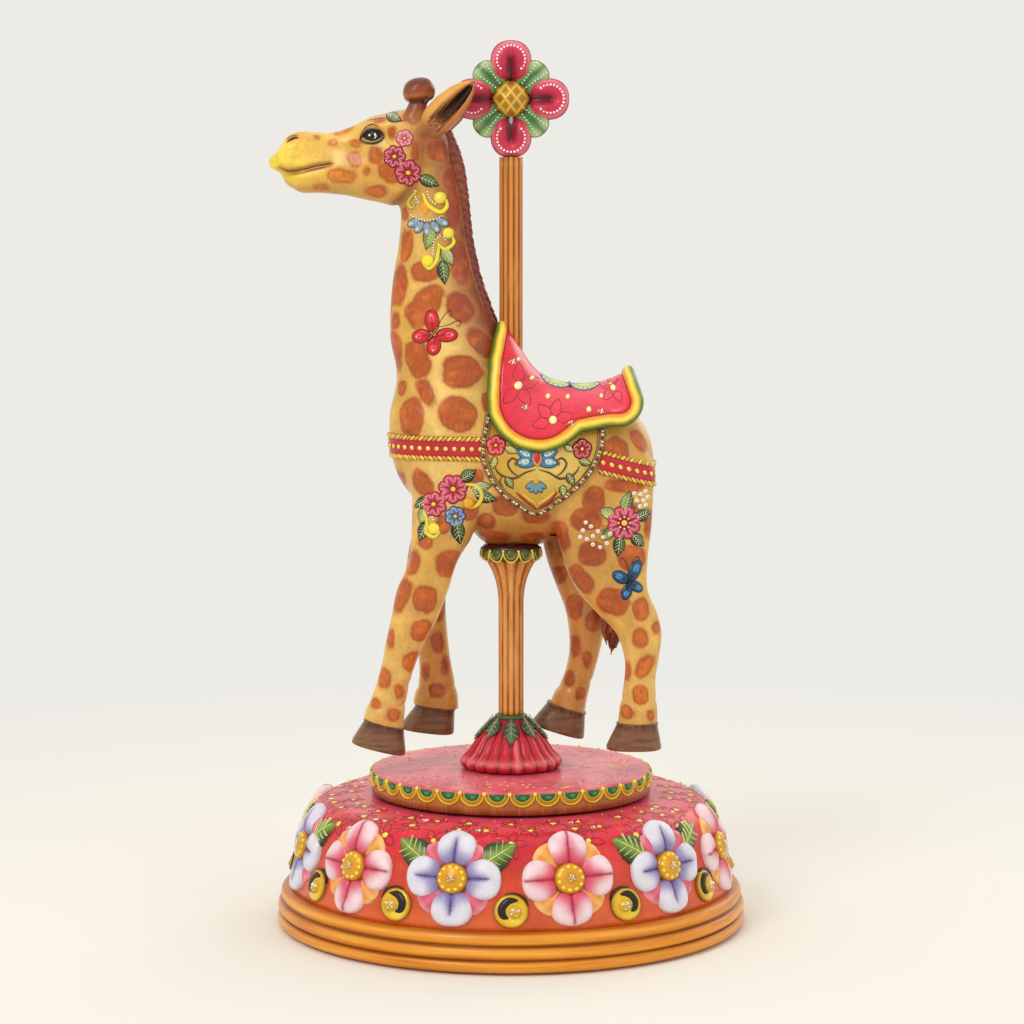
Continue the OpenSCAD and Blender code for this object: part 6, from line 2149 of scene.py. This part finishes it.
def build_blanket(side, name):
    """One flap of the blanket, a cloth with a rounded edge, and all that is painted on it."""
    see = SEE[side]
    border = even_loop(spline(BLANKET_EDGE, 5), 1.3)
    centre = np.array((16, 242))
    rows = [(1.0, -0.4), (1.0, 0.9), (0.985, 1.5)] + [(t, 1.7) for t in np.linspace(0.95, 0.06, 17)]
    rings = [np.column_stack([centre + (border - centre) * t, np.full(len(border), h)]) for t, h in rows]
    flat, faces = domed(rings, (*centre, 1.7), flip=side > 0)
    points = see(flat)
    rim = np.clip(1 - 1.25 * np.linalg.norm((flat[:, :2] - centre) / (31, 31), axis=1), 0, 1)
    tint = painted(points, "cfa236", (0.8 * near_to(points, (22, side * 27, 236), (16, 60, 11)), "ecd27c"),
                   (0.5 * near_to(points, (2, side * 27, 238), (9, 60, 9)), "e2bc50"),
                   # the first of these layers is painted shade along the top, under the saddle's edge
                   (0.7 * ramp(points[:, 2], 247, 256), "8c6420"), (0.35 * (1 - rim), "a87a28"))
    piece(f"blanket_{name}_cloth", (points, faces, tint), fine_paint, CAROUSEL, "blanket_gold",
          f"blanket_{name}")
    strokes, stones = Shape(), Shape()
    blanket_motifs(strokes, stones, lifted(see, 1.75))
    piece(f"blanket_{name}_strokes", strokes, fine_paint, CAROUSEL, "blanket_gold")
    piece(f"blanket_{name}_crystals", stones, crystal, CAROUSEL, "blanket_gold")


def belt_chart(centre_x, start, end, level):
    """Lays (distance round, up, height) on the body along a belt whose middle is at level(x).

    Angles run from -Y towards -X. Gives the chart and the belt's length."""
    look_in = round_chart(skin_tree, centre_x)
    angles = np.linspace(start, end, 160)
    middles = np.full(len(angles), level(centre_x))
    for _ in range(3):
        found = look_in(np.column_stack([angles, middles, np.zeros(len(angles))]))
        middles = np.array([level(x) for x in found[:, 0]])
    run = run_along(found)

    def chart(flat):
        flat = np.asarray(flat, float)
        at = np.interp(flat[:, 0], run, angles)
        height = np.interp(flat[:, 0], run, middles) + flat[:, 1]
        return look_in(np.column_stack([at, height, flat[:, 2]]))
    return chart, run[-1]


def build_band(name, centre_x, start, end, level):
    """A crimson band with a row of gold beads between two twisted gold cords."""
    chart, length = belt_chart(centre_x, start, end, level)
    mirror = 1 if end < start else -1
    section = [(-6, -0.4), (-6, 0.5), (-5.4, 0.9), (-2.5, 0.95), (0, 1), (2.5, 0.95), (5.4, 0.9), (6, 0.5),
               (6, -0.4)]
    steps = int(length / 1.2)
    flat = np.array([(length * i / steps, up, h) for i in range(steps + 1) for up, h in section])
    faces = grid_faces(steps + 1, len(section), closed=False, flip=mirror > 0)
    tint = painted(flat, "c01f33", (ramp(np.abs(flat[:, 1]), 3.2, 4.2), "7c1420"))
    piece(name + "_cloth", (chart(flat), faces, tint), fine_paint, CAROUSEL, "band_crimson", name)
    beads = Shape()
    count = int(length / 4.3)
    for i in range(count):
        s = (i + 0.5) * length / count
        # Each bead is a dark ring, the gold bead, and a pale off-centre dab that is a painted highlight.
        for bead, tone in ((dab(s, 0, 1.45, rise=0.35), "8a1420"), (dab(s, 0, 1.2, rise=0.7), "f2cf4a"),
                           (dab(s - 0.2, 0.3, 0.5, rise=0.85, count=8), "fbf0a4")):
            beads.lay(chart, bead, tone, 0.9, mirror > 0)
    for up in (-4.9, 4.9):
        twists = int(length / 2.35)
        for i in range(twists):
            twist = dab((i + 0.5) * length / twists, up, 1.7, 0.72, 0.6, 38 * np.sign(up) * mirror)
            beads.lay(chart, twist, "efcd4e" if i % 2 else "d8a236", 0.9, mirror > 0)
    piece(name + "_beads", beads, gold_paint, CAROUSEL, "band_crimson")


seat_paint = brushed("seat_paint", roughness=0.24, coat=0.7, depth=0.2, streak=(5, 5, 1))

build_skin_motifs()
build_saddle()
for side, name in SIDES:
    build_blanket(side, name)
build_band("front_band", -22, -19, 199, lambda x: 245 - 0.0143 * (x + 45))
build_band("rear_band", 40, -8, -172, lambda x: 240 - 0.27 * (x - 38))


# ---------------------------------------------------------------- floor, light and camera

# Metres, and degrees up from straight down
CAMERA_PLACE = (0.0005, -1.4807, 0.3519)
CAMERA_TILT = 84.55
CAMERA_LENS = 102.7
AIM = Vector((0, 0, 0.24))
PAPER = (0.9, 0.885, 0.84, 1)
GLOW = 0.94


def studio():
    """A pale floor that fades into an even background, soft light, and a camera on the giraffe's left."""
    floor_mesh = bpy.data.meshes.new("studio_floor")
    reach = 40.0
    floor_mesh.from_pydata([(-reach, -reach, 0), (reach, -reach, 0), (reach, reach, 0), (-reach, reach, 0)],
                           [], [(0, 1, 2, 3)])
    floor = bpy.data.objects.new("studio_floor", floor_mesh)
    bpy.context.collection.objects.link(floor)
    look = Look("floor_paper", 0.95, 0)
    look.set("Specular IOR Level", 0.0)
    split = look.add("ShaderNodeSeparateXYZ", {"Vector": look.place})
    x, y, _ = split.outputs
    faded = look.step(look.length(x, y), 180, 900)
    look.set("Base Color", look.mix(faded, "ece9e0", "000000"))
    look.set("Emission Color", PAPER)
    look.set("Emission Strength", look.times(faded, GLOW))
    floor_mesh.materials.append(look.material)

    world = bpy.data.worlds.new("studio")
    world.use_nodes = True
    background = world.node_tree.nodes["Background"].inputs
    background["Color"].default_value = PAPER
    background["Strength"].default_value = GLOW
    bpy.context.scene.world = world
    for name, place, size, power in (("key", (-0.8, -1.3, 1.4), 0.7, 11), ("fill", (1.3, -1.0, 0.8), 1.2, 2),
                                     ("top", (0.1, 0.2, 1.7), 1.2, 3), ("rim", (0.9, 1.1, 0.9), 0.8, 3)):
        data = bpy.data.lights.new(name, "AREA")
        data.energy = power
        data.size = size
        lamp = bpy.data.objects.new(name, data)
        lamp.location = place
        lamp.rotation_euler = (AIM - Vector(place)).to_track_quat("-Z", "Y").to_euler()
        bpy.context.collection.objects.link(lamp)

    data = bpy.data.cameras.new("camera")
    data.lens = CAMERA_LENS
    data.sensor_width = 36
    camera = bpy.data.objects.new("camera", data)
    camera.location = CAMERA_PLACE
    camera.rotation_euler = (math.radians(CAMERA_TILT), 0, 0)
    bpy.context.collection.objects.link(camera)
    bpy.context.scene.camera = camera
    bpy.context.scene.view_settings.view_transform = "Standard"


studio()
